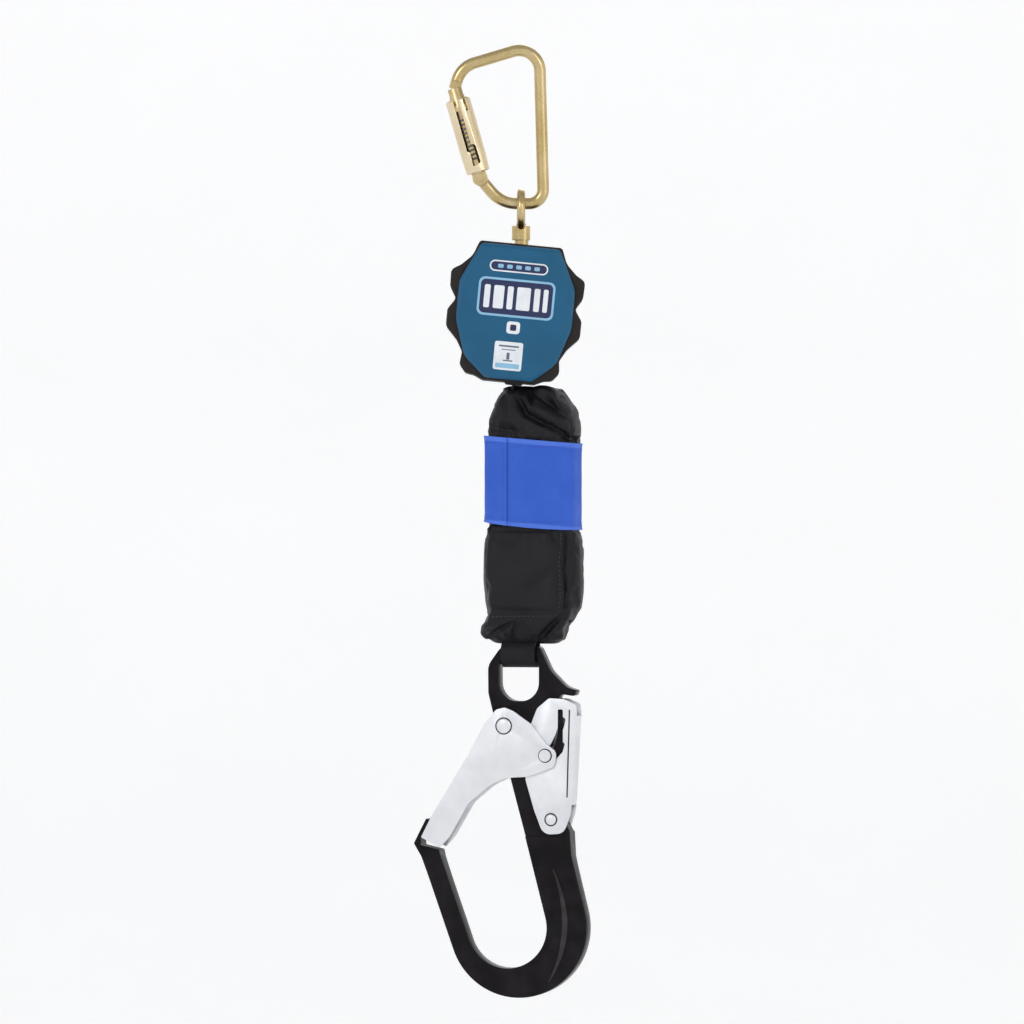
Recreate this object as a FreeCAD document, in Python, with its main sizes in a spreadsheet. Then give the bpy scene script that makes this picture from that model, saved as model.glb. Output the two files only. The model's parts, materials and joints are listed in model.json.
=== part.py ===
import FreeCAD, Part
import math
import os

import Sketcher
from FreeCAD import Placement, Rotation, Vector

# A personal self retracting lifeline hanging from its anchor carabiner. Millimetres, +Z up, +X right,
# +Y away from the front face. The origin is the inner top of the carabiner, where it bears on an anchor.

SIZES = {
    # anchor carabiner
    "carabiner_rod": 8.5,
    "carabiner_height": 106.3,
    "carabiner_nose_x": -47.8,
    "carabiner_nose_z": -24.0,
    "carabiner_hinge_x": -29.5,
    "carabiner_hinge_z": -88.0,
    "tongue_thickness": 3.6,
    "tongue_radius": 5.0,
    "tongue_gap": 0.25,
    "gate_rod": 11.0,
    "gate_cheek_radius": 5.5,
    "gate_collar_radius": 7.75,
    "gate_fork_depth": 6.0,
    "gate_nose_slot": 5.2,
    "gate_bore": 4.2,
    "gate_spring_length": 15.0,
    "plunger_length": 6.0,
    "rivet_radius": 1.5,
    "rivet_head_radius": 2.7,
    "rivet_head": 0.9,
    "running_gap": 0.05,
    "sleeve_wall": 1.2,
    "sleeve_low": 4.5,
    "sleeve_high": 59.0,
    "sleeve_slot": 3.2,
    # swivel
    "eye_section": 6.0,
    "eye_inner_radius": 9.5,
    "eye_rod_gap": 0.45,
    "boss_radius": 6.6,
    "boss_height": 14.5,
    "stem_radius": 5.0,
    "nut_radius": 8.0,
    "nut_height": 4.8,
    "washer_height": 1.0,
    "swivel_bush_flange": 1.2,
    # housing, measured from the drum centre
    "housing_tilt": 5.5,
    "housing_top_z": -138.0,
    "cover_top": 48.0,
    "cover_bottom": 48.0,
    "cover_top_half": 28.0,
    "cover_side_half": 41.6,
    "cover_bottom_half": 17.0,
    "cover_thickness": 3.0,
    "mechanism_room": 15.5,
    "case_inset": 2.0,
    "case_wall": 2.2,
    "bumper_outset": 1.6,
    "bumper_depth": 44.0,
    "lobe_reach": 48.3,
    "scallop_reach": 42.8,
    "tag_side": 20.8,
    "tag_thickness": 0.5,
    # load frame inside the housing
    "bracket_plate": 2.0,
    "bracket_half_width": 21.0,
    "bracket_bottom": 16.0,
    "bracket_web_low": 39.8,
    "bracket_web": 2.6,
    "bracket_gap": 0.4,
    "shaft_radius": 4.0,
    "bush_wall": 2.0,
    "bush_flange": 2.0,
    "tie_bolt_radius": 2.0,
    "tie_bolt_height": 36.2,
    "tie_bolt_half": 17.0,
    # drum
    "hub_radius": 15.0,
    "coil_radius": 30.0,
    "flange_radius": 33.0,
    "flange_thickness": 1.6,
    "webbing_width": 25.0,
    "webbing_thickness": 1.9,
    "webbing_side_gap": 0.3,
    "anchor_pin_radius": 2.0,
    "pawl_thickness": 2.4,
    "pawl_gap": 0.3,
    "pawl_spring_recess": 1.2,
    "pawl_pivot_reach": 22.8,
    "pawl_pivot_radius": 1.6,
    "ratchet_outer": 36.4,
    "ratchet_root": 34.6,
    "ratchet_tip": 31.6,
    "ratchet_teeth": 8,
    "tooth_angle": 16.0,
    "spring_width": 4.2,
    "spring_strip": 0.5,
    "spring_outer": 24.5,
    "spring_turns": 6,
    "spring_case_radius": 27.0,
    "spring_case_wall": 1.0,
    "spring_case_gap": 0.2,
    "guide_x": 4.0,
    "guide_half_width": 6.5,
    "guide_wall": 3.0,
    "guide_length": 9.0,
    "guide_drop": 3.0,
    "guide_gap": 0.5,
    "screw_radius": 1.6,
    "screw_boss_radius": 3.5,
    "screw_depth": 12.0,
    "screw_head_radius": 3.0,
    "screw_head": 1.6,
    # energy absorber pack, turned on the webbing to the way it hangs
    "hang_turn": 15.0,
    "pack_left": -23.0,
    "pack_right": 42.5,
    "pack_depth": 36.0,
    "pack_corner": 12.0,
    "core_depth": 24.0,
    "core_low": -402.0,
    "core_high": -276.0,
    "core_left": -14.0,
    "core_right": 34.5,
    "core_gap": 0.5,
    "wrap_thickness": 1.6,
    "wrap_low": -338.0,
    "wrap_high": -276.5,
    "strap_width": 26.0,
    "loop_inner": 7.2,
    "loop_thickness": 2.4,
    # rebar hook, measured from the centre of its eye
    "hook_eye_z": -450.5,
    "eye_bar": 12.0,
    "eye_bar_rise": 20.0,
    "eye_bar_corner": 4.6,
    "eye_hole_width": 30.0,
    "hook_thickness": 12.0,
    "bowl_thickness": 15.0,
    "bowl_inner_radius": 29.5,
    "bowl_outer_radius": 51.1,
    "hook_plate": 1.5,
    "lever_gap": 0.4,
    "gate_plate_gap": 0.3,
    "gate_rivet_radius": 3.0,
    "gate_rivet_head": 5.4,
    "lever_rivet_radius": 2.2,
    "lever_rivet_head": 4.0,
    "latch_pin_radius": 1.7,
    "latch_pin_head": 4.3,
    "latch_clearance": 0.35,
    "rivet_rise": 1.3,
    "hook_gate_travel": 40.0,
    "lever_ratio": 0.12,
    "lever_slot_half": 1.9,
}

document = FreeCAD.newDocument("lifeline")
sheet = document.addObject("Spreadsheet::Sheet", "Sizes")
for row, (alias, number) in enumerate(SIZES.items(), start=1):
    sheet.set(f"A{row}", alias)
    sheet.set(f"B{row}", str(number))
    sheet.setAlias(f"B{row}", alias)
document.recompute()

PARTS = []
X_AXIS = Vector(1, 0, 0)
Y_AXIS = Vector(0, 1, 0)
Z_AXIS = Vector(0, 0, 1)
ALONG_Y = Rotation(X_AXIS, -90)
ALONG_X = Rotation(Y_AXIS, 90)
HERE = Placement()


# ---------------------------------------------------------------- sizes and frames

def size(expression):
    """Value in millimetres of an alias or of an expression of aliases."""
    return float(sheet.evalExpression(bind(expression)))


def bind(expression):
    """The expression with every alias written as a reference to the sheet."""
    words = []
    word = ""
    for letter in str(expression) + " ":
        if letter.isalnum() or letter in "_.":
            word += letter
            continue
        words.append(f"Sizes.{word}" if word in SIZES else word)
        words.append(letter)
        word = ""
    return "".join(words).strip()


def polar(radius, degrees):
    """Point of the XZ plane at a radius and an angle from +X towards +Z."""
    angle = math.radians(degrees)
    return Vector(radius * math.cos(angle), 0, radius * math.sin(angle))


hinge = Vector(size("carabiner_hinge_x"), 0, size("carabiner_hinge_z"))
nose = Vector(size("carabiner_nose_x"), 0, size("carabiner_nose_z"))
gate_length = (nose - hinge).Length
gate_lean = math.degrees(math.atan2(nose.x - hinge.x, nose.z - hinge.z))
GATE = Placement(hinge, Rotation(Y_AXIS, gate_lean))

tilt = Rotation(Y_AXIS, size("housing_tilt"))
housing_top = Vector(0, 0, size("housing_top_z"))
HOUSING = Placement(housing_top - tilt.multVec(Z_AXIS) * size("cover_top"), tilt)
GUIDE_MOUTH = HOUSING.multVec(Vector(size("guide_x"), 0, -size("cover_bottom + guide_drop")))
PACK = Placement(Vector(), Rotation(Z_AXIS, -size("hang_turn")), Vector(GUIDE_MOUTH.x, 0, 0))
HOOK = PACK * Placement(Vector(0, 0, size("hook_eye_z")), Rotation())

eye_centre_z = -size("carabiner_height + eye_inner_radius - carabiner_rod / 2 - eye_rod_gap")
EYE = Placement(Vector(0, 0, eye_centre_z), Rotation())


# ---------------------------------------------------------------- outlines

def rounded(corners):
    """Closed outline through (x, z, radius) corners; a radius of 0 keeps the corner sharp."""
    count = len(corners)
    joins = []
    for index, (x, z, radius) in enumerate(corners):
        corner = Vector(x, z, 0)
        before = Vector(*corners[index - 1][:2], 0)
        after = Vector(*corners[(index + 1) % count][:2], 0)
        back = (before - corner).normalize()
        ahead = (after - corner).normalize()
        half = back.getAngle(ahead) / 2
        if radius == 0:
            joins.append((corner, None, corner))
            continue
        reach = radius / math.tan(half)
        middle = (back + ahead).normalize() * (radius / math.sin(half) - radius)
        joins.append((corner + back * reach, corner + middle, corner + ahead * reach))
    edges = []
    for index, (start, middle, end) in enumerate(joins):
        if middle is not None:
            edges.append(Part.Arc(start, middle, end))
        following = joins[(index + 1) % count][0]
        if (following - end).Length > 1e-6:
            edges.append(Part.LineSegment(end, following))
    return edges


def box_outline(left, right, low, high, radius=0):
    """Closed rectangle between four limits."""
    return rounded([(left, low, radius), (right, low, radius), (right, high, radius), (left, high, radius)])


def slot_outline(start, middle, end, half_width):
    """Closed curved slot of a constant half width about an arc through three points."""
    arc = Part.Arc(start, middle, end).toShape().Curve
    centre = arc.Center
    edges = []
    for scale in (1, -1):
        ring = [centre + (point - centre) * (1 + scale * half_width / arc.Radius)
                for point in (start, middle, end)]
        edges.append(Part.Arc(*ring))
    for point, side in ((start, -1), (end, 1)):
        outward = (point - centre).normalize()
        along = Vector(-outward.y, outward.x, 0) * side
        if (middle - start).dot(Vector(-outward.y, outward.x, 0)) < 0:
            along = along * -1
        edges.append(Part.Arc(point + outward * half_width, point + along * half_width,
                              point - outward * half_width))
    return edges


def flat(point):
    """A point of the XZ plane as a point of a sketch on that plane."""
    return Vector(point.x, point.z, 0)


def tangent_point(start, centre, radius, side):
    """Where the line from start touches a circle, on its left (1) or right (-1) seen from start."""
    towards = centre - start
    distance = towards.Length
    turn = math.asin(radius / distance) * side
    length = math.sqrt(distance ** 2 - radius ** 2)
    heading = math.atan2(towards.z, towards.x) + turn
    return start + Vector(math.cos(heading), 0, math.sin(heading)) * length


# ---------------------------------------------------------------- document objects

def keep(part, label):
    """Name a finished sub-part and put it on the list that is exported."""
    part.Label = label
    PARTS.append(part)
    return part


def new_body(label, place=HERE):
    """An empty PartDesign body standing in its own frame."""
    body = document.addObject("PartDesign::Body", label)
    body.Placement = place
    return keep(body, label)


def add_sketch(body, role, edges, height="0", bores=()):
    """Sketch on one of the body's own planes, raised along the plane's normal."""
    sketch = body.newObject("Sketcher::SketchObject", f"{body.Label}_sketch")
    planes = [feature for feature in body.Origin.OriginFeatures if feature.Role == role]
    sketch.AttachmentSupport = [(planes[0], "")]
    sketch.MapMode = "FlatFace"
    if height != "0":
        sketch.setExpression("AttachmentOffset.Base.z", bind(height))
    sketch.addGeometry(list(edges))
    for x, z, radius in bores:
        circle = sketch.addGeometry(Part.Circle(Vector(x, z, 0), Vector(0, 0, 1), size(radius)))
        bond = sketch.addConstraint(Sketcher.Constraint("Radius", circle, size(radius)))
        sketch.setExpression(f"Constraints[{bond}]", bind(radius))
    document.recompute()
    return sketch


def slab(body, kind, edges, low, high, bores=(), role="XZ_Plane"):
    """Pad or Pocket between two places along the sketch's axis: Y for XZ, Z for XY, X for YZ."""
    away = -1 if role == "XZ_Plane" else 1
    sketch = add_sketch(body, role, edges, f"{away} * (({low}) + ({high})) / 2", bores)
    feature = body.newObject(f"PartDesign::{kind}", f"{body.Label}_{kind.lower()}")
    feature.Profile = sketch
    feature.SideType = "Symmetric"
    feature.setExpression("Length", bind(f"({high}) - ({low})"))
    document.recompute()
    return feature


def pad(body, edges, low, high, bores=(), role="XZ_Plane"):
    """Add a slab."""
    return slab(body, "Pad", edges, low, high, bores, role)


def pocket(body, edges, low, high, bores=(), role="XZ_Plane"):
    """Cut a slab away, and make sure that it cut."""
    before = body.Shape.Volume
    feature = slab(body, "Pocket", edges, low, high, bores, role)
    if body.Shape.Volume >= before:
        raise RuntimeError(f"{feature.Name} cuts nothing")
    return feature


def revolve(body, edges):
    """Turn a half profile, sketched in (radius, z), about the body's Z axis."""
    sketch = add_sketch(body, "XZ_Plane", edges)
    feature = body.newObject("PartDesign::Revolution", f"{body.Label}_turn")
    feature.Profile = sketch
    feature.ReferenceAxis = (sketch, ["V_Axis"])
    feature.Angle = 360
    document.recompute()
    return feature


def dress(body, kind, alias, chosen):
    """Fillet or chamfer the edges of the tip that the test chooses."""
    tip = body.Tip
    names = [f"Edge{index}" for index, edge in enumerate(tip.Shape.Edges, start=1) if chosen(edge)]
    feature = body.newObject(f"PartDesign::{kind}", f"{body.Label}_{kind.lower()}")
    feature.Base = (tip, names)
    feature.setExpression("Radius" if kind == "Fillet" else "Size", bind(alias))
    document.recompute()
    return feature


def in_plane_y(height):
    """Test for the edges that lie flat at a distance either side of the middle plane."""
    return lambda edge: all(abs(abs(vertex.Y) - height) < 1e-4 for vertex in edge.Vertexes)


def cylinder(radius, low, high, x=0.0, y=0.0):
    """Cylinder along Z between two heights, all bound to the sheet."""
    shape = document.addObject("Part::Cylinder", "Cylinder")
    shape.Placement.Base = Vector(x, y, 0)
    shape.setExpression("Radius", bind(radius))
    shape.setExpression("Height", bind(f"({high}) - ({low})"))
    shape.setExpression("Placement.Base.z", bind(low))
    return shape


def turned(label, steps, bores, place):
    """Stepped round piece along local Z: (radius, low, high) steps less (radius, low, high) bores."""
    solids = [cylinder(*step) for step in steps]
    if len(solids) > 1:
        whole = document.addObject("Part::MultiFuse", f"{label}_steps")
        whole.Shapes = solids
    else:
        whole = document.addObject("Part::Compound", f"{label}_step")
        whole.Links = solids
    for bore in bores:
        cut = document.addObject("Part::Cut", f"{label}_bored")
        cut.Base = whole
        cut.Tool = cylinder(*bore)
        whole = cut
    document.recompute()
    whole.Placement = place * whole.Placement
    return keep(whole, label)


def coil(label, wire, radius, pitch, height, place, low="0"):
    """Round wire spring wound about local Z."""
    body = new_body(label, place)
    sketch = add_sketch(body, "XZ_Plane", [], "0", [(size(radius), size(low), wire)])
    feature = body.newObject("PartDesign::AdditiveHelix", f"{label}_wire")
    feature.Profile = sketch
    feature.ReferenceAxis = (sketch, ["V_Axis"])
    feature.Mode = "pitch-height-angle"
    feature.setExpression("Pitch", bind(pitch))
    feature.setExpression("Height", bind(height))
    document.recompute()
    return body


def across(x, z, frame):
    """Placement that lays a turned piece along Y at a point of a frame."""
    return frame * Placement(Vector(x, 0, z), ALONG_Y)


# ---------------------------------------------------------------- anchor carabiner

def carabiner_frame():
    """Bent rod from the nose round to the hinge, flattened to a tongue at both ends."""
    low = -size("carabiner_height")
    corners = [(nose, 0), (Vector(-43.4, 0, -8.0), 19), (Vector(13.1, 0, 8.9), 15),
               (Vector(16.2, 0, low), 10), (Vector(-14.2, 0, low), 24), (hinge, 0)]
    edges = []
    last = corners[0][0]
    for (before, _), (corner, radius), (after, _) in zip(corners, corners[1:], corners[2:]):
        back = (before - corner).normalize()
        ahead = (after - corner).normalize()
        half = back.getAngle(ahead) / 2
        reach = radius / math.tan(half)
        middle = (back + ahead).normalize() * (radius / math.sin(half) - radius)
        start = corner + back * reach
        end = corner + ahead * reach
        edges.append(Part.makeLine(last, start))
        edges.append(Part.Arc(start, corner + middle, end).toShape())
        last = end
    edges.append(Part.makeLine(last, hinge))
    path = document.addObject("Part::Feature", "carabiner_path")
    path.Shape = Part.Wire(edges)
    section = document.addObject("Part::Circle", "carabiner_section")
    section.setExpression("Radius", bind("carabiner_rod / 2"))
    section.Placement = Placement(nose, Rotation(Z_AXIS, corners[1][0] - nose))
    sweep = document.addObject("Part::Sweep", "carabiner_rod_sweep")
    sweep.Sections = [section]
    sweep.Spine = (path, [f"Edge{index + 1}" for index in range(len(edges))])
    sweep.Solid = True
    sweep.Frenet = False

    knuckle = document.addObject("Part::Cylinder", "hinge_knuckle")
    knuckle.setExpression("Radius", bind("tongue_radius"))
    knuckle.setExpression("Height", bind("tongue_thickness"))
    centred = Placement(Vector(0, 0, -size("tongue_thickness / 2")), Rotation())
    knuckle.Placement = across(hinge.x, hinge.z, HERE) * centred
    whole = document.addObject("Part::MultiFuse", "carabiner_rod_and_knuckle")
    whole.Shapes = [sweep, knuckle]
    nose_clear = size("gate_nose_slot") + 1.0
    for place, reach in ((hinge, size("gate_cheek_radius") + 1.0), (nose, nose_clear)):
        for side in (-1, 1):
            near = size("tongue_thickness") / 2
            tool = document.addObject("Part::Cylinder", "flattening")
            tool.Radius = reach
            tool.Height = size("carabiner_rod")
            low_end = near if side > 0 else -near - size("carabiner_rod")
            tool.Placement = across(place.x, place.z, HERE) * Placement(Vector(0, 0, low_end), Rotation())
            cut = document.addObject("Part::Cut", "carabiner_flattened")
            cut.Base = whole
            cut.Tool = tool
            whole = cut
    bore = document.addObject("Part::Cylinder", "hinge_bore")
    bore.setExpression("Radius", bind("rivet_radius"))
    bore.setExpression("Height", bind("carabiner_rod * 2"))
    back = Placement(Vector(0, 0, -size("carabiner_rod")), Rotation())
    bore.Placement = across(hinge.x, hinge.z, HERE) * back
    cut = document.addObject("Part::Cut", "carabiner_bored")
    cut.Base = whole
    cut.Tool = bore
    keep(cut, "carabiner_frame")


def carabiner_gate():
    """Spring gate: a fork over the frame's tongue, two collars for the sleeve, a slot for the nose."""
    half = size("gate_rod") / 2
    collar = size("gate_collar_radius")
    top = gate_length + 0.4
    body = new_body("carabiner_gate", GATE)
    revolve(body, rounded([
        (0, 0, 0), (half, 0, 0), (half, 4.8, 0), (collar, 4.8, 0), (collar, 9.0, 0), (half, 9.0, 0),
        (half, 50.0, 0), (collar, 50.0, 0), (collar, 54.0, 0), (half, 54.0, 0), (half, top, 0),
        (0, top, 0)]))
    cheek = "gate_cheek_radius"
    pad(body, [], "-gate_rod / 2 + 0.6", "gate_rod / 2 - 0.6", [(0, 0, cheek)])
    slot = "tongue_thickness / 2 + tongue_gap"
    depth = size("gate_fork_depth")
    pocket(body, box_outline(-9, 9, -9, depth), f"-({slot})", slot)
    pocket(body, box_outline(-20, 20, gate_length - size("gate_nose_slot"), top + 5), f"-({slot})", slot)
    pocket(body, [], "-gate_rod", "gate_rod", [(0, 0, "rivet_radius + running_gap")])
    for low, high in (("gate_rod / 2 - 0.6", "gate_rod"), ("-gate_rod", "0.6 - gate_rod / 2")):
        pocket(body, box_outline(-9, 9, -9, 4.0), low, high)
    bore_top = size("gate_fork_depth + gate_spring_length + plunger_length") - 1.0
    cutter = add_sketch(body, "XY_Plane", [], f"{bore_top}", [(0, 0, "gate_bore / 2")])
    hole = body.newObject("PartDesign::Pocket", "carabiner_gate_bore")
    hole.Profile = cutter
    hole.Length = bore_top
    document.recompute()


def carabiner_small_parts():
    """Hinge rivet, plunger and its spring, lock sleeve and its torsion spring."""
    reach = "gate_rod / 2 - 0.6"
    turned("carabiner_rivet", [
        ("rivet_radius", f"-({reach}) - rivet_head", f"{reach} + rivet_head"),
        ("rivet_head_radius", f"-({reach}) - rivet_head", f"-({reach}) - 0.05"),
        ("rivet_head_radius", f"{reach} + 0.05", f"{reach} + rivet_head")],
        [], across(hinge.x, hinge.z, HERE))
    start = "tongue_radius + 0.35"
    turned("gate_plunger", [
        ("gate_bore / 2 - running_gap", start, f"{start} + 3.0"),
        ("gate_bore / 2 - 1.2", f"{start} + 3.0", f"{start} + plunger_length")], [], GATE)
    coil("gate_plunger_spring", "0.3", "gate_bore / 2 - 0.5", "1.7", "gate_spring_length - 4",
         GATE, "tongue_radius + 0.35 + 3.4")


def lock_sleeve():
    """Thin twist sleeve with a chamfered top, a drawn in foot and three windows."""
    inner = size("gate_collar_radius + running_gap")
    outer = inner + size("sleeve_wall")
    low = size("sleeve_low")
    high = size("sleeve_high")
    body = new_body("lock_sleeve", GATE)
    revolve(body, rounded([
        (inner, low, 0), (outer - 0.6, low, 0), (outer, low + 12, 4), (outer, high - 1.2, 0),
        (outer - 0.8, high, 0), (inner, high, 0)]))
    front = f"-({outer} + 1)"
    slot = size("sleeve_slot") / 2
    pocket(body, rounded([(-2.2 - slot, high + 2, 0), (-2.2 - slot, low + 16, 0), (-1.4 + slot, low + 13, 0),
                          (-1.4 + slot, high + 2, 0)]), front, "0")
    pocket(body, rounded([(3.4, high + 2, 0), (3.4, high - 10, 0.7), (5.2, high - 10, 0.7),
                          (5.2, high + 2, 0)]), front, "0")
    pocket(body, rounded([(-2.4, low + 4, 1), (3.6, low + 6, 1), (3.2, low + 20, 2), (-1.6, low + 20, 1)]),
           front, "0")
    coil("sleeve_spring", "0.55", "gate_rod / 2 + 0.95", "3.2", "34", GATE, "12")


# ---------------------------------------------------------------- swivel

def swivel():
    """Forged eye with boss and stem, held under the load frame by a washer and a nut."""
    ring = document.addObject("Part::Torus", "eye_ring")
    ring.setExpression("Radius1", bind("eye_inner_radius + eye_section / 2"))
    ring.setExpression("Radius2", bind("eye_section / 2"))
    ring.Placement = EYE * Placement(Vector(), ALONG_X)
    boss_top = eye_centre_z - size("eye_inner_radius") + 0.5
    boss = cylinder("boss_radius", f"{boss_top} - boss_height + 2", f"{boss_top} - 2.5")
    neck = cylinder("eye_section / 2 + 0.6", f"{boss_top} - 5", f"{boss_top} - 0.6")
    stem = document.addObject("Part::Cylinder", "stem")
    stem.setExpression("Radius", bind("stem_radius"))
    stem_low = size("bracket_web_low - nut_height - 0.4")
    stem.Height = size("cover_top") + 9.5 - stem_low
    stem.Placement = HOUSING * Placement(Vector(0, 0, stem_low), Rotation())
    whole = document.addObject("Part::MultiFuse", "swivel_eye")
    whole.Shapes = [ring, boss, neck, stem]
    keep(whole, "swivel_eye")

    turned("swivel_bush", [
        ("stem_radius + 1.6", "bracket_web_low", "bracket_web_low + bracket_web"),
        ("stem_radius + 3", "bracket_web_low + bracket_web",
         "bracket_web_low + bracket_web + swivel_bush_flange")],
        [("stem_radius + running_gap", "bracket_web_low - 1", "bracket_web_low + 9")], HOUSING)
    under = "bracket_web_low - 0.1"
    turned("swivel_washer", [("nut_radius", f"{under} - washer_height", under)],
           [("stem_radius", "0", "60")], HOUSING)
    body = new_body("swivel_nut", HOUSING)
    across_flats = size("nut_radius")
    hexagon = [(*[across_flats * f(math.radians(60 * side)) for f in (math.cos, math.sin)], 0)
               for side in range(6)]
    pad(body, rounded(hexagon), f"{under} - nut_height", f"{under} - washer_height",
        [(0, 0, "stem_radius")], "XY_Plane")


# ---------------------------------------------------------------- housing

def half_outline():
    """Right hand corners of the cover, top to bottom, as (x, z, radius)."""
    side = size("cover_side_half")
    return [(size("cover_top_half"), size("cover_top"), 4), (side, 20, 16), (side, -8, 22),
            (side - 8.5, -34, 16), (size("cover_bottom_half"), -size("cover_bottom"), 5)]


def housing_outline(inset):
    """The cover's outline, moved inwards by a distance that is the same all round."""
    right = half_outline()
    corners = right + [(-x, z, radius) for x, z, radius in reversed(right)]
    count = len(corners)
    moved = []
    for index, (x, z, radius) in enumerate(corners):
        corner = Vector(x, z, 0)
        back = (Vector(*corners[index - 1][:2], 0) - corner).normalize()
        ahead = (Vector(*corners[(index + 1) % count][:2], 0) - corner).normalize()
        half = back.getAngle(ahead) / 2
        shift = (back + ahead).normalize() * (inset / math.sin(half))
        moved.append((x + shift.x, z + shift.y, max(radius - inset, 1.0)))
    return rounded(moved)


def bumper_outline():
    """Scalloped outline of the bumper: three grip lobes a side with hollows between them."""
    lobe = size("lobe_reach")
    hollow = size("scallop_reach")
    rim = size("bumper_outset")
    top = size("cover_top") + rim
    bottom = size("cover_bottom") + rim
    right = [(size("cover_top_half") + rim, top, 3), (33.8, 38.5, 14), (41.5, 31.0, 8), (lobe, 27.0, 5),
             (lobe - 0.4, 15.0, 6), (hollow, 6.6, 4), (lobe, -1.5, 5), (lobe, -13.5, 5), (39.8, -22.5, 6),
             (35.0, -31.0, 5), (36.0, -40.0, 4), (31.4, -45.6, 4), (25.0, -46.6, 6),
             (size("cover_bottom_half") + rim, -bottom, 4)]
    return rounded(right + [(-x, z, radius) for x, z, radius in reversed(right)])


SCREW_SPOTS = [(31.0, 26.0), (-31.0, 26.0), (28.2, -28.8), (-28.2, -28.8)]


def cover(label, outer_face, inner_face):
    """Bevelled cover plate over one side of the housing."""
    body = new_body(label, HOUSING)
    low, high = sorted((outer_face, inner_face), key=size)
    pad(body, housing_outline(0), low, high)
    level = abs(size(outer_face))
    dress(body, "Chamfer", "cover_thickness * 0.8", in_plane_y(level))
    if size(outer_face) > 0:
        pocket(body, [], low, high, [(x, z, "screw_radius + 0.1") for x, z in SCREW_SPOTS])
        pocket(body, [], f"{high} - screw_head - 0.2", high,
               [(x, z, "screw_head_radius + 0.1") for x, z in SCREW_SPOTS])
    return body


def case_half(label, near, far):
    """Moulded shell, open at the middle plane, with a hole for the stem and a mouth for the guide."""
    body = new_body(label, HOUSING)
    low, high = sorted((near, far), key=size)
    wall = size("case_wall")
    pad(body, housing_outline(size("case_inset")), low, high)
    inner = f"({far}) + case_wall" if size(far) < 0 else f"({far}) - case_wall"
    opening = sorted((near, inner), key=size)
    pocket(body, housing_outline(size("case_inset") + wall), *opening)
    pocket(body, [], "30", "60", [(0, 0, "stem_radius + 0.4")], "XY_Plane")
    mouth = size("guide_half_width + 0.05")
    half = "webbing_width / 2 + guide_gap + guide_wall + 0.05"
    middle = size("guide_x")
    pocket(body, box_outline(middle - mouth, middle + mouth, -60, -36), f"-({half})", half)
    for x, z in SCREW_SPOTS:
        pad(body, [], *opening, [(x, z, "screw_boss_radius")])
    pocket(body, [], "-screw_depth", f"{far}" if size(far) > 0 else "0",
           [(x, z, "screw_radius") for x, z in SCREW_SPOTS])
    return body


def housing_side():
    """Outer face of a cover, from the middle of the webbing."""
    return "webbing_width / 2 + mechanism_room"


def housing_shells():
    """Covers, case halves, rubber bumper, inspection tag and the four case screws."""
    cover("front_cover", f"-({housing_side()})", f"cover_thickness - ({housing_side()})")
    cover("rear_cover", housing_side(), f"{housing_side()} - cover_thickness")
    face = f"{housing_side()} - cover_thickness"
    case_half("front_case", "0", f"-({face})")
    case_half("rear_case", "0", face)

    body = new_body("bumper", HOUSING)
    half = "bumper_depth / 2"
    pad(body, bumper_outline(), f"-{half}", half)
    pocket(body, housing_outline(size("case_inset")), f"-{half}", half)
    pocket(body, [], "30", "60", [(0, 0, "stem_radius + 1.2")], "XY_Plane")
    mouth = size("guide_half_width + 0.05")
    middle = size("guide_x")
    deep = "webbing_width / 2 + guide_gap + guide_wall + 0.05"
    pocket(body, box_outline(middle - mouth, middle + mouth, -60, -40), f"-({deep})", deep)

    tag = new_body("inspection_tag", HOUSING)
    side = size("tag_side") / 2
    front = f"-({housing_side()})"
    pad(tag, box_outline(-1.8 - side, -1.8 + side, -31.3 - side, -31.3 + side, 1.2),
        f"{front} - tag_thickness", front)


def case_screws():
    """Four screws in one node, sunk in the rear cover and threaded into the front case."""
    face = housing_side()
    screws = []
    for x, z in SCREW_SPOTS:
        screw = document.addObject("Part::MultiFuse", "case_screw")
        screw.Shapes = [cylinder("screw_radius", "-screw_depth", f"{face} - screw_head - 0.2"),
                        cylinder("screw_head_radius", f"{face} - screw_head - 0.2", f"{face} - 0.2")]
        screw.Placement = across(x, z, HOUSING)
        screws.append(screw)
    group = document.addObject("Part::Compound", "case_screws")
    group.Links = screws
    keep(group, "case_screws")


def load_frame():
    """Steel U bracket: the swivel pulls on its web and the drum shaft turns in its two plates."""
    body = new_body("load_bracket", HOUSING)
    front = drum_front()
    rear = drum_rear()
    web_low = size("bracket_web_low")
    web_high = web_low + size("bracket_web")
    half = size("bracket_half_width")
    bottom = -size("bracket_bottom")
    plate = rounded([(-half, web_high, 2), (-half, -4, 8), (-9, bottom, 6), (9, bottom, 6), (half, -4, 8),
                     (half, web_high, 2)])
    bores = [(0, 0, "shaft_radius + bush_wall"),
             (size("tie_bolt_half"), size("tie_bolt_height"), "tie_bolt_radius"),
             (-size("tie_bolt_half"), size("tie_bolt_height"), "tie_bolt_radius")]
    pad(body, plate, f"{front} - bracket_plate", front, bores)
    pad(body, plate, rear, f"{rear} + bracket_plate", bores)
    pad(body, box_outline(-half, half, web_low, web_high), front, rear)
    pocket(body, [], "30", "60", [(0, 0, "stem_radius + 1.6")], "XY_Plane")


def drum_front():
    """Inner face of the bracket's front plate."""
    return "-(webbing_width / 2 + webbing_side_gap + flange_thickness + pawl_thickness + 2 * pawl_gap)"


def drum_rear():
    """Inner face of the bracket's rear plate."""
    return "webbing_width / 2 + webbing_side_gap + flange_thickness + bracket_gap"


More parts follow.
